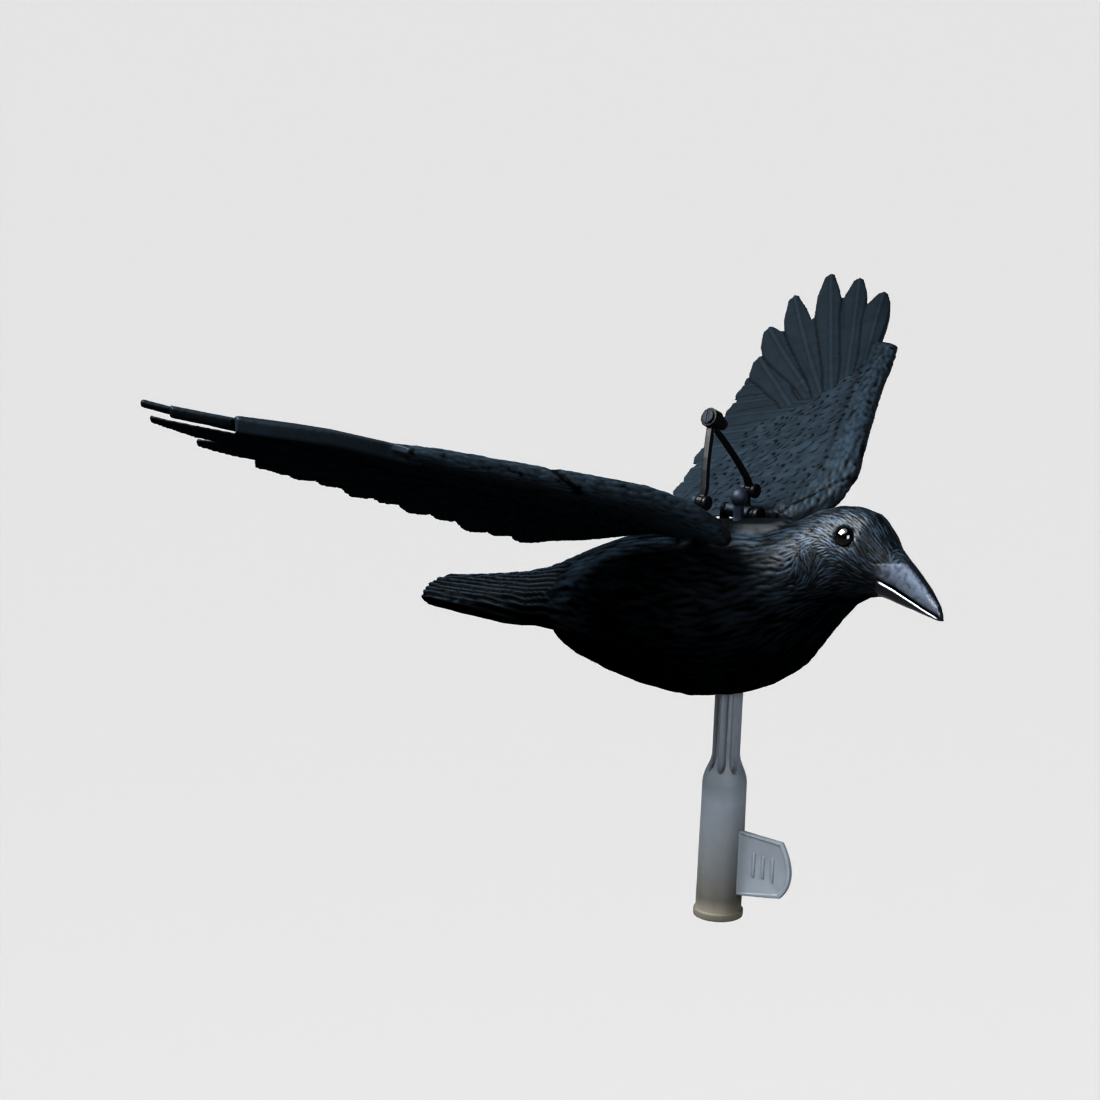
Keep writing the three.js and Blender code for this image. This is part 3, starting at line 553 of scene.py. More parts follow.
def body_skin():
    """The solid's form without its facets, finer toward the head."""
    mesh = even_mesh("body", BODY_VOXEL)
    x, y, z = points_of(mesh).T
    out = np.abs(y)
    seat = (np.abs(out - SEAT_OUT) < SEAT_HALF) & (x > SEAT_BACK) & (x < SEAT_FRONT)
    eye = np.linalg.norm(np.stack((x, out, z), 1) - eye_middle, axis=1) < EYE_KEPT
    kept = (seat & (z > SEAT_LOW)) | eye
    crisp = 0.85 * step(BILL_FROM, BILL_FULL, x)
    crisp = np.maximum(crisp, 0.75 * step(TAIL_FROM, TAIL_FULL, x))
    crisp = np.maximum(crisp, step(END_FROM, END_FULL, x))
    at_step = 0.95 * np.exp(-(((x - STEP_EDGE) / STEP_WIDE) ** 2)) * (z < STEP_HIGH)
    ease_out(mesh, 24, np.where(kept, 1, np.maximum(crisp, at_step)))
    for start in (FINE_FROM, FINEST_FROM):
        split_where(mesh, lambda x, y, z: (x > start.x) & (z > start.z))
    ease_out(mesh, 4, 0)
    return mesh


def cut_gape(mesh):
    """Cuts the open gape between the halves of the bill, from its corner to near the tip."""
    wedge = bmesh.new()
    bmesh.ops.create_cube(wedge, size=2)
    lengthwise = [e for e in wedge.edges if abs(e.verts[0].co.x - e.verts[1].co.x) > 1]
    bmesh.ops.subdivide_edges(wedge, edges=lengthwise, cuts=1, use_grid_fill=True)
    for vert in wedge.verts:
        at = {-1: 0, 0: 0.3, 1: 1}[round(vert.co.x)]
        gap = {-1: 0.2, 0: 1, 1: 0.45}[round(vert.co.x)] * GAPE_OPEN / 2
        place = GAPE.lerp(GAPE_TIP, at)
        vert.co = (place.x, vert.co.y * GAPE_WIDE, place.z + math.copysign(gap, vert.co.z))
    bmesh.ops.recalc_face_normals(wedge, faces=wedge.faces)
    cutter = bpy.data.objects.new("wedge", mesh_of(wedge, "wedge"))
    bpy.context.scene.collection.objects.link(cutter)
    settings = {"operation": "DIFFERENCE", "solver": "EXACT", "object": cutter}
    cut = through(mesh, "BOOLEAN", settings)
    bpy.data.objects.remove(cutter)
    return cut


def store(mesh, name, values):
    """Keeps one value at each point for the material."""
    made = mesh.attributes.new(name, "FLOAT", "POINT")
    made.data.foreach_set("value", values.astype(np.float32))


def painted_top_light(normals):
    """Painted light and shade on a skin: 1 where it faces up, little underneath."""
    return 0.2 + 0.8 * step(-0.5, 0.6, normals[:, 2])


def bill_parts(points, ragged):
    """Where the bill is, and where the head's locks cover its base, 1 inside each."""
    x, _, z = points.T
    base = x + 2 * ragged - HORN_BACK - 0.2 * np.maximum(0, z - HORN_LEAN)
    bill = step(-1.5 * MM, 2.5 * MM, base)
    above = z + ragged - NASAL_LOW - 0.08 * (x - HORN_BACK)
    covered = bill * step(-1 * MM, 1 * MM, above) * (1 - step(NASAL_FRONT - 3 * MM, NASAL_FRONT, x))
    return bill, covered


def mark_bill(mesh, points, normals, horn, ragged):
    """Keeps where the horn is bare, the painted light on its sides and the painted highlight on
    the rim below the gape.
    """
    x, _, z = points.T
    line = np.interp(x, (GAPE.x, GAPE_TIP.x), (GAPE.z, GAPE_TIP.z))
    flank = step(0.3, 0.75, np.abs(normals[:, 1]))
    # The painted light on the bill's sides is patchy and brighter toward the tip.
    patchy = 0.8 + 0.6 * ragged / MM + 0.35 * step(HORN_BACK, GAPE_TIP.x, x)
    side = horn * flank * step(0.3 * MM, 3.5 * MM, z - line) * patchy
    ends = step(GAPE.x, GAPE.x + 3 * MM, x) * step(GAPE_TIP.x, GAPE_TIP.x - 3 * MM, x)
    store(mesh, "horn", horn)
    store(mesh, "side", side * step(HORN_BACK - 1 * MM, HORN_BACK + 8 * MM, x))
    store(mesh, "painted_rim_highlight", ends * np.exp(-(((line - z - RIM_HIGHLIGHT_BELOW) / RIM_HIGHLIGHT_HALF) ** 4)))


def dress_body():
    """The body's skin with the plumage cut in and the gape cut through."""
    mesh = body_skin()
    points = points_of(mesh)
    normals = normals_of(mesh)
    x, _, z = points.T
    ragged = np.array([noise.noise(Vector(p) * 350) for p in points]) * RAGGED
    bill, covered = bill_parts(points, ragged)
    patch = np.linalg.norm((points - np.array(PATCH)) / PATCH_REACH, axis=1)
    patch = 1 - step(0.7, 1.1, patch)
    bare = np.maximum(bill * (1 - 0.6 * covered), patch)
    relief = lay_locks(mesh, (bare < 0.5) & (x > TAIL_ROOT - 10 * MM), plumage_lie, 3)
    top = grown(LOCK_HIGH, np.linalg.norm(points - np.array(GAPE), axis=1))
    tail = step(TAIL_ROOT + TAIL_BLEND, TAIL_ROOT - TAIL_BLEND, x)
    relief = relief * (1 - tail) + top * tail_ridges(points) * tail
    # The relief also sets the painted light on the crests and the painted shade in the grooves; bare
    # places take a middle tone.
    store(mesh, "relief", np.where(bare > 0.5, 0.6, relief / top))
    horn = bill * (1 - covered)
    mark_bill(mesh, points, normals, horn, ragged)

    # Painted shade: darker behind the breast and darker still on the rump, as the wings' painted
    # shadow, a little lighter on the tail; painted light on the cheek. The bill is left unshaded.
    painted_shadow = (1 - 0.3 * step(0.075, 0.045, x)) * (1 - 0.4 * step(0.005, -0.045, x)) + 0.2 * tail
    painted_cheek_light = 0.4 * step(0.07, 0.1, x) * step(0.245, 0.262, z) * step(0.295, 0.28, z)
    store(mesh, "painted_shading", np.maximum(painted_top_light(normals) * painted_shadow + painted_cheek_light, horn))
    rise = normals * ((relief - 0.7 * top) * (1 - bare))[:, None]
    rise[:, 2] += PATCH_RISE * patch
    set_points(mesh, points + rise, "body")
    return cut_gape(mesh)


def plumage_material():
    """Black polyethylene, moulded: dull, with painted light in blue-grey on the crests and painted
    shade in the near-black grooves. The bill is smoother and glossy, with painted light on its
    sides and a painted highlight on the rim below the gape."""
    material, tree, shader = new_material("moulded_black_polyethylene")
    place = add(tree, "ShaderNodeTexCoord").outputs["Object"]
    relief = add(tree, "ShaderNodeAttribute", {"attribute_name": "relief"}).outputs["Fac"]
    horn = add(tree, "ShaderNodeAttribute", {"attribute_name": "horn"}).outputs["Fac"]
    # Painted light and shade from the relief: blue-grey on the crests, near-black in the grooves.
    crest = add(
        tree,
        "ShaderNodeMapRange",
        {"interpolation_type": "SMOOTHSTEP"},
        {"Value": relief, "From Min": 0.45, "From Max": 1.0},
    ).outputs["Result"]
    tone = add(
        tree,
        "ShaderNodeMix",
        {"data_type": "RGBA"},
        {"Factor": crest, "A": linear("010202"), "B": linear("1f2830")},
    ).outputs["Result"]
    # The horn's own dark colour, then painted light on the bill's sides and a painted highlight on
    # the rim below the gape.
    for name, colour in (("horn", "0e1116"), ("side", "343940"), ("painted_rim_highlight", "b9bec5")):
        mask = add(tree, "ShaderNodeAttribute", {"attribute_name": name}).outputs["Fac"]
        tone = add(
            tree,
            "ShaderNodeMix",
            {"data_type": "RGBA"},
            {"Factor": mask, "A": tone, "B": linear(colour)},
        ).outputs["Result"]
    cloud = add(
        tree,
        "ShaderNodeTexNoise",
        {},
        {"Vector": place, "Scale": 1 / CLOUD_WIDE, "Detail": 5, "Roughness": 0.7},
    ).outputs["Fac"]
    spread = add(
        tree, "ShaderNodeMapRange", {}, {"Value": cloud, "To Min": 0.55, "To Max": 1.45}
    ).outputs["Result"]
    # The painted shading from dress_body scales the colour: lighter on upward faces and the cheek,
    # darker underneath and in the wings' painted shadow.
    painted_shading = add(tree, "ShaderNodeAttribute", {"attribute_name": "painted_shading"}).outputs["Fac"]
    share = add(
        tree, "ShaderNodeMath", {"operation": "MULTIPLY"}, {0: spread, 1: painted_shading}
    ).outputs["Value"]
    colour = add(
        tree, "ShaderNodeVectorMath", {"operation": "SCALE"}, {"Vector": tone, "Scale": share}
    ).outputs["Vector"]
    rough = add(
        tree, "ShaderNodeMapRange", {}, {"Value": horn, "To Min": 0.5, "To Max": 0.3}
    ).outputs["Result"]
    strength = add(
        tree, "ShaderNodeMapRange", {}, {"Value": horn, "To Min": 0.3, "To Max": 0.08}
    ).outputs["Result"]
    fine = add(
        tree, "ShaderNodeTexNoise", {}, {"Vector": place, "Scale": 1 / PITTING_WIDE, "Detail": 3}
    ).outputs["Fac"]
    bump = add(
        tree, "ShaderNodeBump", {}, {"Height": fine, "Strength": strength, "Distance": 0.0004}
    ).outputs["Normal"]
    shine = add(
        tree, "ShaderNodeMapRange", {}, {"Value": horn, "To Min": 0.15, "To Max": 0.35}
    ).outputs["Result"]
    # The sheen fades with the painted shading, so the painted-dark places also lose their
    # reflection.
    sheen_where_lit = add(
        tree, "ShaderNodeMapRange", {}, {"Value": painted_shading, "From Min": 0.4, "From Max": 1.0}
    ).outputs["Result"]
    shine = add(
        tree, "ShaderNodeMath", {"operation": "MULTIPLY"}, {0: shine, 1: sheen_where_lit}
    ).outputs["Value"]
    feed(tree, shader, {"Base Color": colour, "Roughness": rough, "Normal": bump})
    feed(tree, shader, {"IOR": 1.5, "Specular IOR Level": shine})
    return material


def eye_axis(node):
    """An eye's topmost point and its outward axis, from its solid."""
    points = points_of(nodes[node].data)
    middle = points.mean(0)
    axis = np.linalg.eigh(np.cov((points - middle).T))[1][:, 0]
    axis = axis * np.sign(axis[1] * middle[1])
    top = middle + axis * ((points - middle) @ axis).max()
    return Vector(top), Vector(axis)


# The eye's middle lies this far inside the top of its dome.
EYE_INSIDE = 4 * MM
eye_top, eye_out = eye_axis("eye_left")
eye_middle = np.array(eye_top - eye_out * EYE_INSIDE)
piece_of(dress_body(), "plumage", plumage_material(), "stand", "feather_black", "body")


# Eyes: black glass domes pressed into round seats in the head, and polished.
EYE_ROUND = 6.5 * MM
EYE_BULGE = 3.2 * MM
EYE_RIM = 1 * MM
EYE_DEEP = 2.2 * MM
DOME_STEPS = 16
EYE_TURN_STEPS = 48

eye_finish, eye_tree, eye_shader = new_material("polished_black_glass")
feed(
    eye_tree,
    eye_shader,
    {"Base Color": linear("020202"), "Roughness": 0.03, "IOR": 1.52, "Specular IOR Level": 0.5},
)
for side in ("left", "right"):
    top, out = eye_axis(f"eye_{side}")
    section = [(0, 0, -EYE_RIM - EYE_DEEP), (EYE_ROUND, 0, -EYE_RIM - EYE_DEEP)]
    for x, _, z in arc((0, 0), EYE_ROUND, 0, 90, DOME_STEPS)[:-1]:
        section.append((x, 0, z / EYE_ROUND * (EYE_BULGE + EYE_RIM) - EYE_RIM))
    dome = turned(section + [(0, 0, EYE_BULGE)], EYE_TURN_STEPS)
    turn = out.to_track_quat("Z", "Y").to_matrix().to_4x4()
    place = Matrix.Translation(top - out * EYE_BULGE) @ turn
    bmesh.ops.transform(dome, matrix=place, verts=dome.verts)
    name = f"eye_{side}"
    piece_of(mesh_of(dome, name), f"glass_{name}", eye_finish, "stand", "eye_gloss", name, crease=40)


# Wings: two thin mouldings in the same black polyethylene. The small feathers lie over the
# thick rounded arm, and the long outer feathers have their shafts moulded in.
WING_VOXEL = 1.15 * MM
HINGE_OUT = 24 * MM
WING_REACH = 350 * MM
WING_CHORD = 150 * MM
# The arm's share of the reach, and the scales on it.
ARM_END = 0.685
SCALE_HALF = 5.2 * MM
SCALE_WIDE = 2.5 * MM
SCALE_RISE = 1.3 * MM
# The knuckles and lug at the root are left plain inside this stretch.
KNUCKLE_OUT = 45 * MM
KNUCKLE_FRONT = -2 * MM
KNUCKLE_BACK = -36 * MM
KNUCKLE_LOW = 274 * MM
SHAFT_HALF = 0.8 * MM
GROOVE_OUT = 1.9 * MM
GROOVE_HALF = 0.7 * MM
SEAM_HALF = 1.4 * MM
CREASE_HALF = 1.6 * MM
DIMPLE_REACH = 9 * MM
DIMPLE_HALF = 0.75 * MM
# Real barbs are finer than the render shows. They are this far apart, in millimetres, and
# slope back from the shaft by this much.
BARB_PITCH = 1.9
BARB_SLOPE = 0.9
WING_CLOUD_WIDE = 14.286 * MM
WING_PITTING_WIDE = 1.4286 * MM
# How deep a crease each leading edge has, where, in millimetres, and the direction across it.
CREASES = {
    "wing_right": (1, (-15, 175, 339), (0.317, -0.591, 0.742)),
    "wing_left": (0.45, (27.5, 65.2, 300.2), (0.893, -0.404, -0.209)),
}
# Leading and trailing edge along the wing, and how far back the small feathers reach.
EDGE_AT = (0.02, 0.07, 0.12, 0.16, 0.23, 0.35, 0.47, 0.64, 0.79, 1.0)
LEAD_AT = (0.11, 0.17, 0.24, 0.24, 0.17, 0.02, -0.14, -0.34, -0.55, -0.86)
TRAIL_AT = (-0.62, -0.72, -0.79, -0.82, -0.87, -0.97, -1.06, -1.20, -1.36, -1.55)
COVERT_AT = (0.1, 0.287, 0.358, 0.4, 0.42, 0.47, 0.574, 0.68, 0.7)
COVERT_BACK = (0.95, 0.86, 0.78, 0.7, 0.5, 0.35, 0.14, 0.05, -0.1)
# Root and tip of the long feathers as shares of reach and chord, in turn.
LONG_FEATHERS = (
    (0.62, -0.48, 0.918, -0.88),
    (0.60, -0.55, 0.975, -1.13),
    (0.58, -0.62, 0.973, -1.31),
    (0.56, -0.68, 0.905, -1.42),
    (0.54, -0.72, 0.800, -1.39),
    (0.50, -0.76, 0.700, -1.27),
)
SECONDARIES = 10
FEATHER_HALF = 12.5 * MM
FEATHER_ROOT_HALF = 7 * MM


def feather_lines():
    """Root and tip of each feather in plan, as reach and fore-and-aft place."""
    rows = list(LONG_FEATHERS)
    for k in range(SECONDARIES):
        share = 0.62 + (0.085 - 0.62) * k / (SECONDARIES - 1)
        front = np.interp(share, EDGE_AT, LEAD_AT)
        back = np.interp(share, EDGE_AT, TRAIL_AT)
        rows.append((share - 0.02, front * 0.55 + back * 0.45, share + 0.025, back - 0.03))
    scale = np.array((WING_REACH, WING_CHORD))
    shift = np.array((HINGE_OUT, 0))
    return [(np.array(row[:2]) * scale + shift, np.array(row[2:]) * scale + shift) for row in rows]


def feather_places(reach, ahead):
    """For each point how far along and across the uppermost feather it is, and how far inside
    that feather's edge. The outer feathers lie over the inner ones."""
    along = np.zeros(len(reach))
    nowhere_near = 9.0
    across = np.full(len(reach), nowhere_near)
    inside = np.full(len(reach), nowhere_near)
    for root, tip in reversed(feather_lines()):
        length = np.hypot(*(tip - root))
        way = (tip - root) / length
        run = (reach - root[0]) * way[0] + (ahead - root[1]) * way[1]
        off = (reach - root[0]) * way[1] - (ahead - root[1]) * way[0]
        half = np.interp(run / length, (0, 0.6), (FEATHER_ROOT_HALF, FEATHER_HALF))
        mine = (np.abs(off) < half) & (run > -0.25 * length) & (run < length * 1.05)
        along = np.where(mine, run, along)
        across = np.where(mine, off, across)
        inside = np.where(mine, half - np.abs(off), inside)
    return along, across, inside


def arm_lie(point):
    """Flow and size of the scale-like small feathers on the leading edge."""
    flow = Vector((-0.45, math.copysign(0.85, point[1]), 0.25))
    sway = 0.8 * noise.noise(Vector(point) * 90)
    flow = np.array(Matrix.Rotation(sway, 3, "X") @ flow)
    return flow, SCALE_HALF, SCALE_WIDE, SCALE_RISE


def dimples(points, where, seed):
    """Small comma-shaped dimples strewn over the small feathers, 1 at their deepest."""
    chance = random.Random(seed)
    tree = tree_of(points)
    depth = np.zeros(len(points))
    free = where.copy()
    order = list(np.flatnonzero(where))
    chance.shuffle(order)
    for pick in order:
        if not free[pick]:
            continue
        near = around(tree, points[pick], DIMPLE_REACH)
        away = points[near] - points[pick]
        free[near[np.linalg.norm(away, axis=1) < chance.uniform(5, 10) * MM]] = False
        turn = chance.uniform(-1.3, 1.3)
        along = away[:, 1] * math.cos(turn) + away[:, 0] * math.sin(turn)
        across = away[:, 0] * math.cos(turn) - away[:, 1] * math.sin(turn)
        curl = across + along**2 * 150
        long = chance.uniform(0.8, 3.2) * MM
        dent = chance.uniform(0.3, 1) * np.exp(-((along / long) ** 2) - (curl / DIMPLE_HALF) ** 2)
        depth[near] = np.maximum(depth[near], dent)
    return depth


def dress_wing(node):
    """A wing's skin with its feathers' shafts, seams and scales."""
    mesh = even_mesh(node, WING_VOXEL)
    ease_out(mesh, 5, 0)
    points = points_of(mesh)
    normals = normals_of(mesh)
    x, y, z = points.T
    reach = np.abs(y)
    share = (reach - HINGE_OUT) / WING_REACH
    lead = WING_CHORD * np.interp(share, EDGE_AT, LEAD_AT)
    trail = WING_CHORD * np.interp(share, EDGE_AT, TRAIL_AT)
    chord = (lead - x) / (lead - trail)
    upper = step(-0.1, 0.2, normals[:, 2])
    knuckles = (reach < KNUCKLE_OUT) & (x < KNUCKLE_FRONT) & (x > KNUCKLE_BACK) & (z > KNUCKLE_LOW)
    skin = np.where(knuckles, 0.0, 1.0)
    inner = step(ARM_END + 0.01, ARM_END - 0.005, share)
    lobes = np.sin(reach * 380) * 0.015
    behind = chord - np.interp(share, COVERT_AT, COVERT_BACK) - lobes
    covert = inner * (upper * step(0.012, -0.012, behind) + (1 - upper) * step(0.47, 0.43, chord))
    along, across, inside = feather_places(reach, x)
    vane = (1 - covert) * skin
    shaft = np.exp(-((across / SHAFT_HALF) ** 2))
    beside = np.exp(-(((np.abs(across) - GROOVE_OUT) / GROOVE_HALF) ** 2))
    seam = np.exp(-((inside / SEAM_HALF) ** 2))
    under_edge = upper * np.exp(-np.maximum(behind, 0) / 0.06)
    far_out = step(0.3, 0.5, share)
    seam = seam * (0.35 + 0.65 * far_out)
    relief = vane * (0.3 * shaft - 0.12 * beside - 0.8 * seam - 0.5 * under_edge) * MM
    front = upper * step(0.22, 0.08, chord) + (1 - upper) * step(0.62, 0.5, chord)
    band = front * skin * step(ARM_END, ARM_END - 0.02, share)
    scales = lay_locks(mesh, band > 0.4, arm_lie, 11)
    relief += band * (scales - 0.7 * SCALE_RISE)
    rest = (covert > 0.5) & (band < 0.5) & (normals[:, 2] > 0) & (skin > 0.5)
    dents = dimples(points, rest, 5)
    waves = np.array([noise.noise(Vector(p) * 130) for p in points]) * covert * (1 - band)
    cut, middle, lie = CREASES[node]
    crease = (np.stack((x, reach, z), 1) - np.array(middle) * MM) @ np.array(lie)
    crease = cut * np.exp(-((crease / CREASE_HALF) ** 2)) * step(0.24, 0.18, chord)
    relief += (0.35 * waves - 0.8 * dents - 1.2 * crease) * MM
    # Painted light and shade: lighter on the shafts and on the scales' crests, darker beside the
    # shafts, in the seams, in the dents and in the crease, mottled with the waves.
    shade = 0.62 + 0.16 * vane * shaft - vane * (0.08 * beside + 0.3 * seam) + 0.15 * waves
    shade = shade * (1 - band) + band * scales / SCALE_RISE - 1.3 * dents - crease
    # Painted light and shade: lighter where the skin faces up, darker underneath except toward the
    # leading edge, darkest under the root; on top the long outer feathers are a quarter darker.
    painted_shadow = 0.15 + 0.85 * step(0.03, 0.16, share)
    lower = 0.35 + 1.2 * step(0.42, 0.05, chord) * painted_shadow
    top = step(-0.2, 0.4, normals[:, 2])
    painted_shading = top * painted_top_light(normals) * (1 - 0.25 * vane * far_out) + (1 - top) * lower
    store(mesh, "painted_shading", painted_shading)
    # Sheen only where the skin faces up: the undersides lose their reflection, a painted shade.
    store(mesh, "gloss", 0.08 * top)
    store(mesh, "relief", np.clip(shade, 0, 1))
    store(mesh, "barb", (along + BARB_SLOPE * np.abs(across)) / MM)
    store(mesh, "vane", vane)
    set_points(mesh, points + normals * (relief - 0.1 * MM)[:, None], node)
    return mesh


def wing_material():
    """The same polyethylene on the wings, with the feathers' fine barbs moulded in. They catch
    the light in faint rows on the long feathers."""
    material, tree, shader = new_material("moulded_black_polyethylene_wing")
    place = add(tree, "ShaderNodeTexCoord").outputs["Object"]
    relief = add(tree, "ShaderNodeAttribute", {"attribute_name": "relief"}).outputs["Fac"]
    barb = add(tree, "ShaderNodeAttribute", {"attribute_name": "barb"}).outputs["Fac"]
    vane = add(tree, "ShaderNodeAttribute", {"attribute_name": "vane"}).outputs["Fac"]
    turns = add(
        tree, "ShaderNodeMath", {"operation": "MULTIPLY"}, {0: barb, 1: 2 * math.pi / BARB_PITCH}
    ).outputs["Value"]
    wave = add(tree, "ShaderNodeMath", {"operation": "SINE"}, {0: turns}).outputs["Value"]
    rows = add(tree, "ShaderNodeMath", {"operation": "MULTIPLY"}, {0: wave, 1: vane})
    # Painted light and shade from dress_wing: near-black in the seams and dents, blue-grey on the
    # crests.
    crest = add(
        tree,
        "ShaderNodeMapRange",
        {"interpolation_type": "SMOOTHSTEP"},
        {"Value": relief, "From Min": 0.1, "From Max": 0.95},
    ).outputs["Result"]
    tone = add(
        tree,
        "ShaderNodeMix",
        {"data_type": "RGBA"},
        {"Factor": crest, "A": linear("020304"), "B": linear("1e262c")},
    ).outputs["Result"]
    cloud = add(
        tree, "ShaderNodeTexNoise", {}, {"Vector": place, "Scale": 1 / WING_CLOUD_WIDE, "Detail": 5}
    ).outputs["Fac"]
    spread = add(
        tree, "ShaderNodeMapRange", {}, {"Value": cloud, "To Min": 0.75, "To Max": 1.2}
    ).outputs["Result"]
    # The painted shading from dress_wing scales the colour.
    painted_shading = add(tree, "ShaderNodeAttribute", {"attribute_name": "painted_shading"}).outputs["Fac"]
    share = add(
        tree, "ShaderNodeMath", {"operation": "MULTIPLY"}, {0: spread, 1: painted_shading}
    ).outputs["Value"]
    colour = add(
        tree, "ShaderNodeVectorMath", {"operation": "SCALE"}, {"Vector": tone, "Scale": share}
    ).outputs["Vector"]
    # The sheen is kept to the upward faces, a painted shade underneath.
    shine = add(tree, "ShaderNodeAttribute", {"attribute_name": "gloss"}).outputs["Fac"]
    fine = add(
        tree,
        "ShaderNodeTexNoise",
        {},
        {"Vector": place, "Scale": 1 / WING_PITTING_WIDE, "Detail": 3},
    ).outputs["Fac"]
    height = add(
        tree,
        "ShaderNodeMath",
        {"operation": "MULTIPLY_ADD"},
        {0: rows.outputs["Value"], 1: 0.25, 2: fine},
    ).outputs["Value"]
    bump = add(
        tree, "ShaderNodeBump", {}, {"Height": height, "Strength": 0.4, "Distance": 0.0005}
    ).outputs["Normal"]
    feed(tree, shader, {"Base Color": colour, "Roughness": 0.5, "Normal": bump})
    feed(tree, shader, {"IOR": 1.5, "Specular IOR Level": shine})
    return material


wing_finish = wing_material()
for side in ("right", "left"):
    node = f"wing_{side}"
    piece_of(
        dress_wing(node), f"feathers_{side}", wing_finish, f"{side}_wing", "feather_black", node
    )


# Pins: black nylon pins with round heads. Two hang each wing's barrel in its knuckles, and
# two join the struts' feet to the wings' lugs. They are pushed in from the front.
HINGE_SHANK = 2 * MM
HINGE_HEAD = 4 * MM
FOOT_SHANK = 1.5 * MM
FOOT_HEAD = 3.5 * MM
HEAD_SOFT = 1.1 * MM
SHANK_SOFT = 0.4 * MM
ROD_STEPS = 40

link_finish, link_tree, link_shader = new_material("moulded_black_nylon")
feed(
    link_tree,
    link_shader,
    {"Base Color": linear("07080b"), "Roughness": 0.42, "IOR": 1.53, "Specular IOR Level": 0.1},
)


def rod(bm, start, end, radius, edge):
    """A round bar between two points, with rounded rims."""
    along = end - start
    turn = along.to_track_quat("Z", "X").to_matrix().to_4x4()
    made = bmesh.ops.create_cone(
        bm,
        cap_ends=True,
        segments=ROD_STEPS,
        radius1=radius,
        radius2=radius,
        depth=along.length,
        matrix=Matrix.Translation((start + end) / 2) @ turn,
    )["verts"]
    rims = {e for v in made for e in v.link_edges if e.calc_face_angle(0) > 1}
    rounded(bm, rims, edge, 4)


def headed_pin(node, body, shank, head):
    """A pin along X: a round head in front and a shank behind it."""
    low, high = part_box(node)
    middle = (low + high) / 2
    neck = Vector((high.x - head, middle.y, middle.z))
    pin = bmesh.new()
    rod(pin, neck, neck + Vector((head, 0, 0)), (high.z - low.z) / 2, HEAD_SOFT)
    rod(pin, Vector((low.x, neck.y, neck.z)), neck + Vector((head / 2, 0, 0)), shank, SHANK_SOFT)
    piece_of(mesh_of(pin, node), f"turned_{node}", link_finish, body, "link_black", node, crease=35)


for side in ("right", "left"):
    headed_pin(f"hinge_pin_{side}", "stand", HINGE_SHANK, HINGE_HEAD)
    headed_pin(f"foot_pin_{side}", f"{side}_wing", FOOT_SHANK, FOOT_HEAD)


# Struts: two slim black nylon links from the wings' lugs to the hub. The right one ends in
# the hub's barrel, and the left one turns on the hub's grey pin.
STRUT_VOXEL = 0.36 * MM
# The screw slot in the hub's face: its floor is painted dark, a painted shade, from PIT_FROM to
# PIT_END below the face.
PIT_FROM = 0.2 * MM
PIT_FULL = 0.5 * MM
PIT_END = 1 * MM

hub_finish, hub_tree, hub_shader = new_material("moulded_grey_nylon")
# Painted shade: the screw slot's floor is near-black.
hub_pit = add(hub_tree, "ShaderNodeAttribute", {"attribute_name": "pit"}).outputs["Fac"]
hub_tone = add(
    hub_tree,
    "ShaderNodeMix",
    {"data_type": "RGBA"},
    {"Factor": hub_pit, "A": linear("13171d"), "B": linear("010102")},
).outputs["Result"]
feed(hub_tree, hub_shader, {"Base Color": hub_tone, "Roughness": 0.5, "IOR": 1.53})
feed(hub_tree, hub_shader, {"Specular IOR Level": 0.1})
for node, body, finish, slot in (
    ("strut_right", "right_strut", link_finish, "link_black"),
    ("strut_left", "left_strut", link_finish, "link_black"),
    ("hub_pin", "right_strut", hub_finish, "hub_grey"),
):
    mesh = even_mesh(node, STRUT_VOXEL)
    ease_out(mesh, 3, 0)
    if node == "hub_pin":
        points = points_of(mesh)
        axis = np.linalg.eigh(np.cov(points.T))[1][:, 2]
        along = points @ (axis * np.sign(axis[0]))
        deep = along.max() - along
        store(mesh, "pit", step(PIT_FROM, PIT_FULL, deep) * (deep < PIT_END))
    set_points(mesh, points_of(mesh), node)
    piece_of(mesh, f"moulded_{node}", finish, body, slot, node)


# Setting: a wide pale floor, soft light from above and the camera at the photograph's place.
# None of it belongs to the decoy.
CAMERA_TURN = math.radians(40)
CAMERA_RAISE = 0.2499
CAMERA_ROLL = -0.0384
CAMERA_AWAY = 2.5
CAMERA_ACROSS = -0.116166
CAMERA_UP = 0.252009
CAMERA_LENS = 118.17
CLIP = (0.05, 400)
FLOOR_DROP = -6
FLOOR_REACH = 250
# The world is pale up to this height over the horizon, and dim from the next one on.
PALE_TO = 0.05
DIM_FROM = 0.2
PALE_POWER = 1.1
DIM_POWER = 0.13
SUN_FROM = Vector((-0.3, -0.4, 1))
SUN_POWER = 5.6
SUN_SPREAD = 60
AIM = Vector((0.0, 0, 0.27))
BOX_SIZE = 1.2

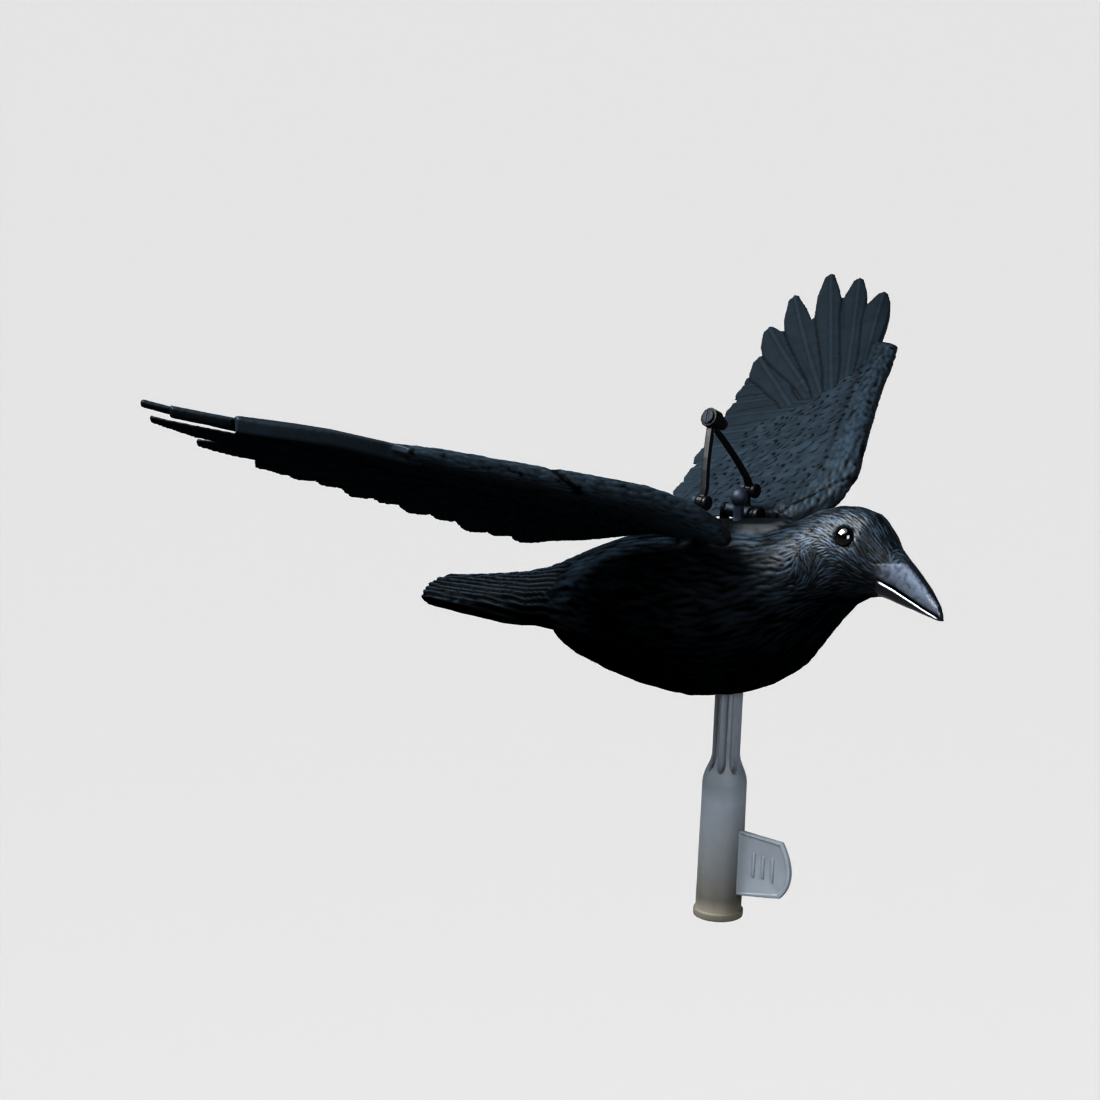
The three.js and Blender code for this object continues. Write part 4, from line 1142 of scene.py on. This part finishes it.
back = Vector(
    (
        math.sin(CAMERA_TURN) * math.cos(CAMERA_RAISE),
        -math.cos(CAMERA_TURN) * math.cos(CAMERA_RAISE),
        math.sin(CAMERA_RAISE),
    )
)
level = Vector((math.cos(CAMERA_TURN), math.sin(CAMERA_TURN), 0))
rise = back.cross(level)
right = math.cos(CAMERA_ROLL) * level - math.sin(CAMERA_ROLL) * rise
up = math.sin(CAMERA_ROLL) * level + math.cos(CAMERA_ROLL) * rise
camera = bpy.data.objects.new("camera", bpy.data.cameras.new("camera"))
camera.data.lens = CAMERA_LENS
camera.data.clip_start, camera.data.clip_end = CLIP
camera.matrix_world = Matrix((right, up, back)).transposed().to_4x4()
camera.location = CAMERA_ACROSS * right + CAMERA_UP * up + CAMERA_AWAY * back
bpy.context.scene.collection.objects.link(camera)
bpy.context.scene.camera = camera

ground = bmesh.new()
bmesh.ops.create_circle(ground, cap_ends=True, segments=96, radius=FLOOR_REACH)
bmesh.ops.translate(ground, verts=ground.verts, vec=(0, 0, FLOOR_DROP))
floor_finish, floor_tree, floor_shader = new_material("matt_paper")
feed(
    floor_tree,
    floor_shader,
    {"Base Color": linear("bcbcbc"), "Roughness": 1, "Specular IOR Level": 0},
)
floor_mesh = mesh_of(ground, "floor")
floor_mesh.materials.append(floor_finish)
floor = bpy.data.objects.new("floor", floor_mesh)
bpy.context.scene.collection.objects.link(floor)

world = bpy.data.worlds.new("studio")
bpy.context.scene.world = world
world.use_nodes = True
# Pale round the horizon, where the floor ends, and dim above.
sky = world.node_tree
direction = add(sky, "ShaderNodeTexCoord").outputs["Generated"]
height = add(sky, "ShaderNodeSeparateXYZ", {}, {"Vector": direction}).outputs["Z"]
glow = add(
    sky, "ShaderNodeMapRange", {}, {"Value": height, "From Min": PALE_TO, "From Max": DIM_FROM}
)
feed(sky, glow, {"To Min": PALE_POWER, "To Max": DIM_POWER})
strength = glow.outputs["Result"]
feed(sky, sky.nodes["Background"], {"Color": linear("e5e5e5"), "Strength": strength})

sun = bpy.data.lights.new("overhead", "SUN")
sun.energy = SUN_POWER
sun.angle = math.radians(SUN_SPREAD)
sun_holder = bpy.data.objects.new("overhead", sun)
sun_holder.rotation_euler = SUN_FROM.to_track_quat("Z", "Y").to_euler()
bpy.context.scene.collection.objects.link(sun_holder)

for name, power, place in (
    ("softbox", 370, (-0.75, -1.05, 1.75)),
    ("fill", 90, (1.7, -1.1, 1.0)),
):
    lamp = bpy.data.lights.new(name, "AREA")
    lamp.size = BOX_SIZE
    lamp.energy = power
    holder = bpy.data.objects.new(name, lamp)
    holder.location = place
    holder.rotation_euler = (AIM - holder.location).to_track_quat("-Z", "Y").to_euler()
    bpy.context.scene.collection.objects.link(holder)
bpy.context.scene.view_settings.view_transform = "Standard"
bpy.context.scene.view_settings.gamma = 0.6
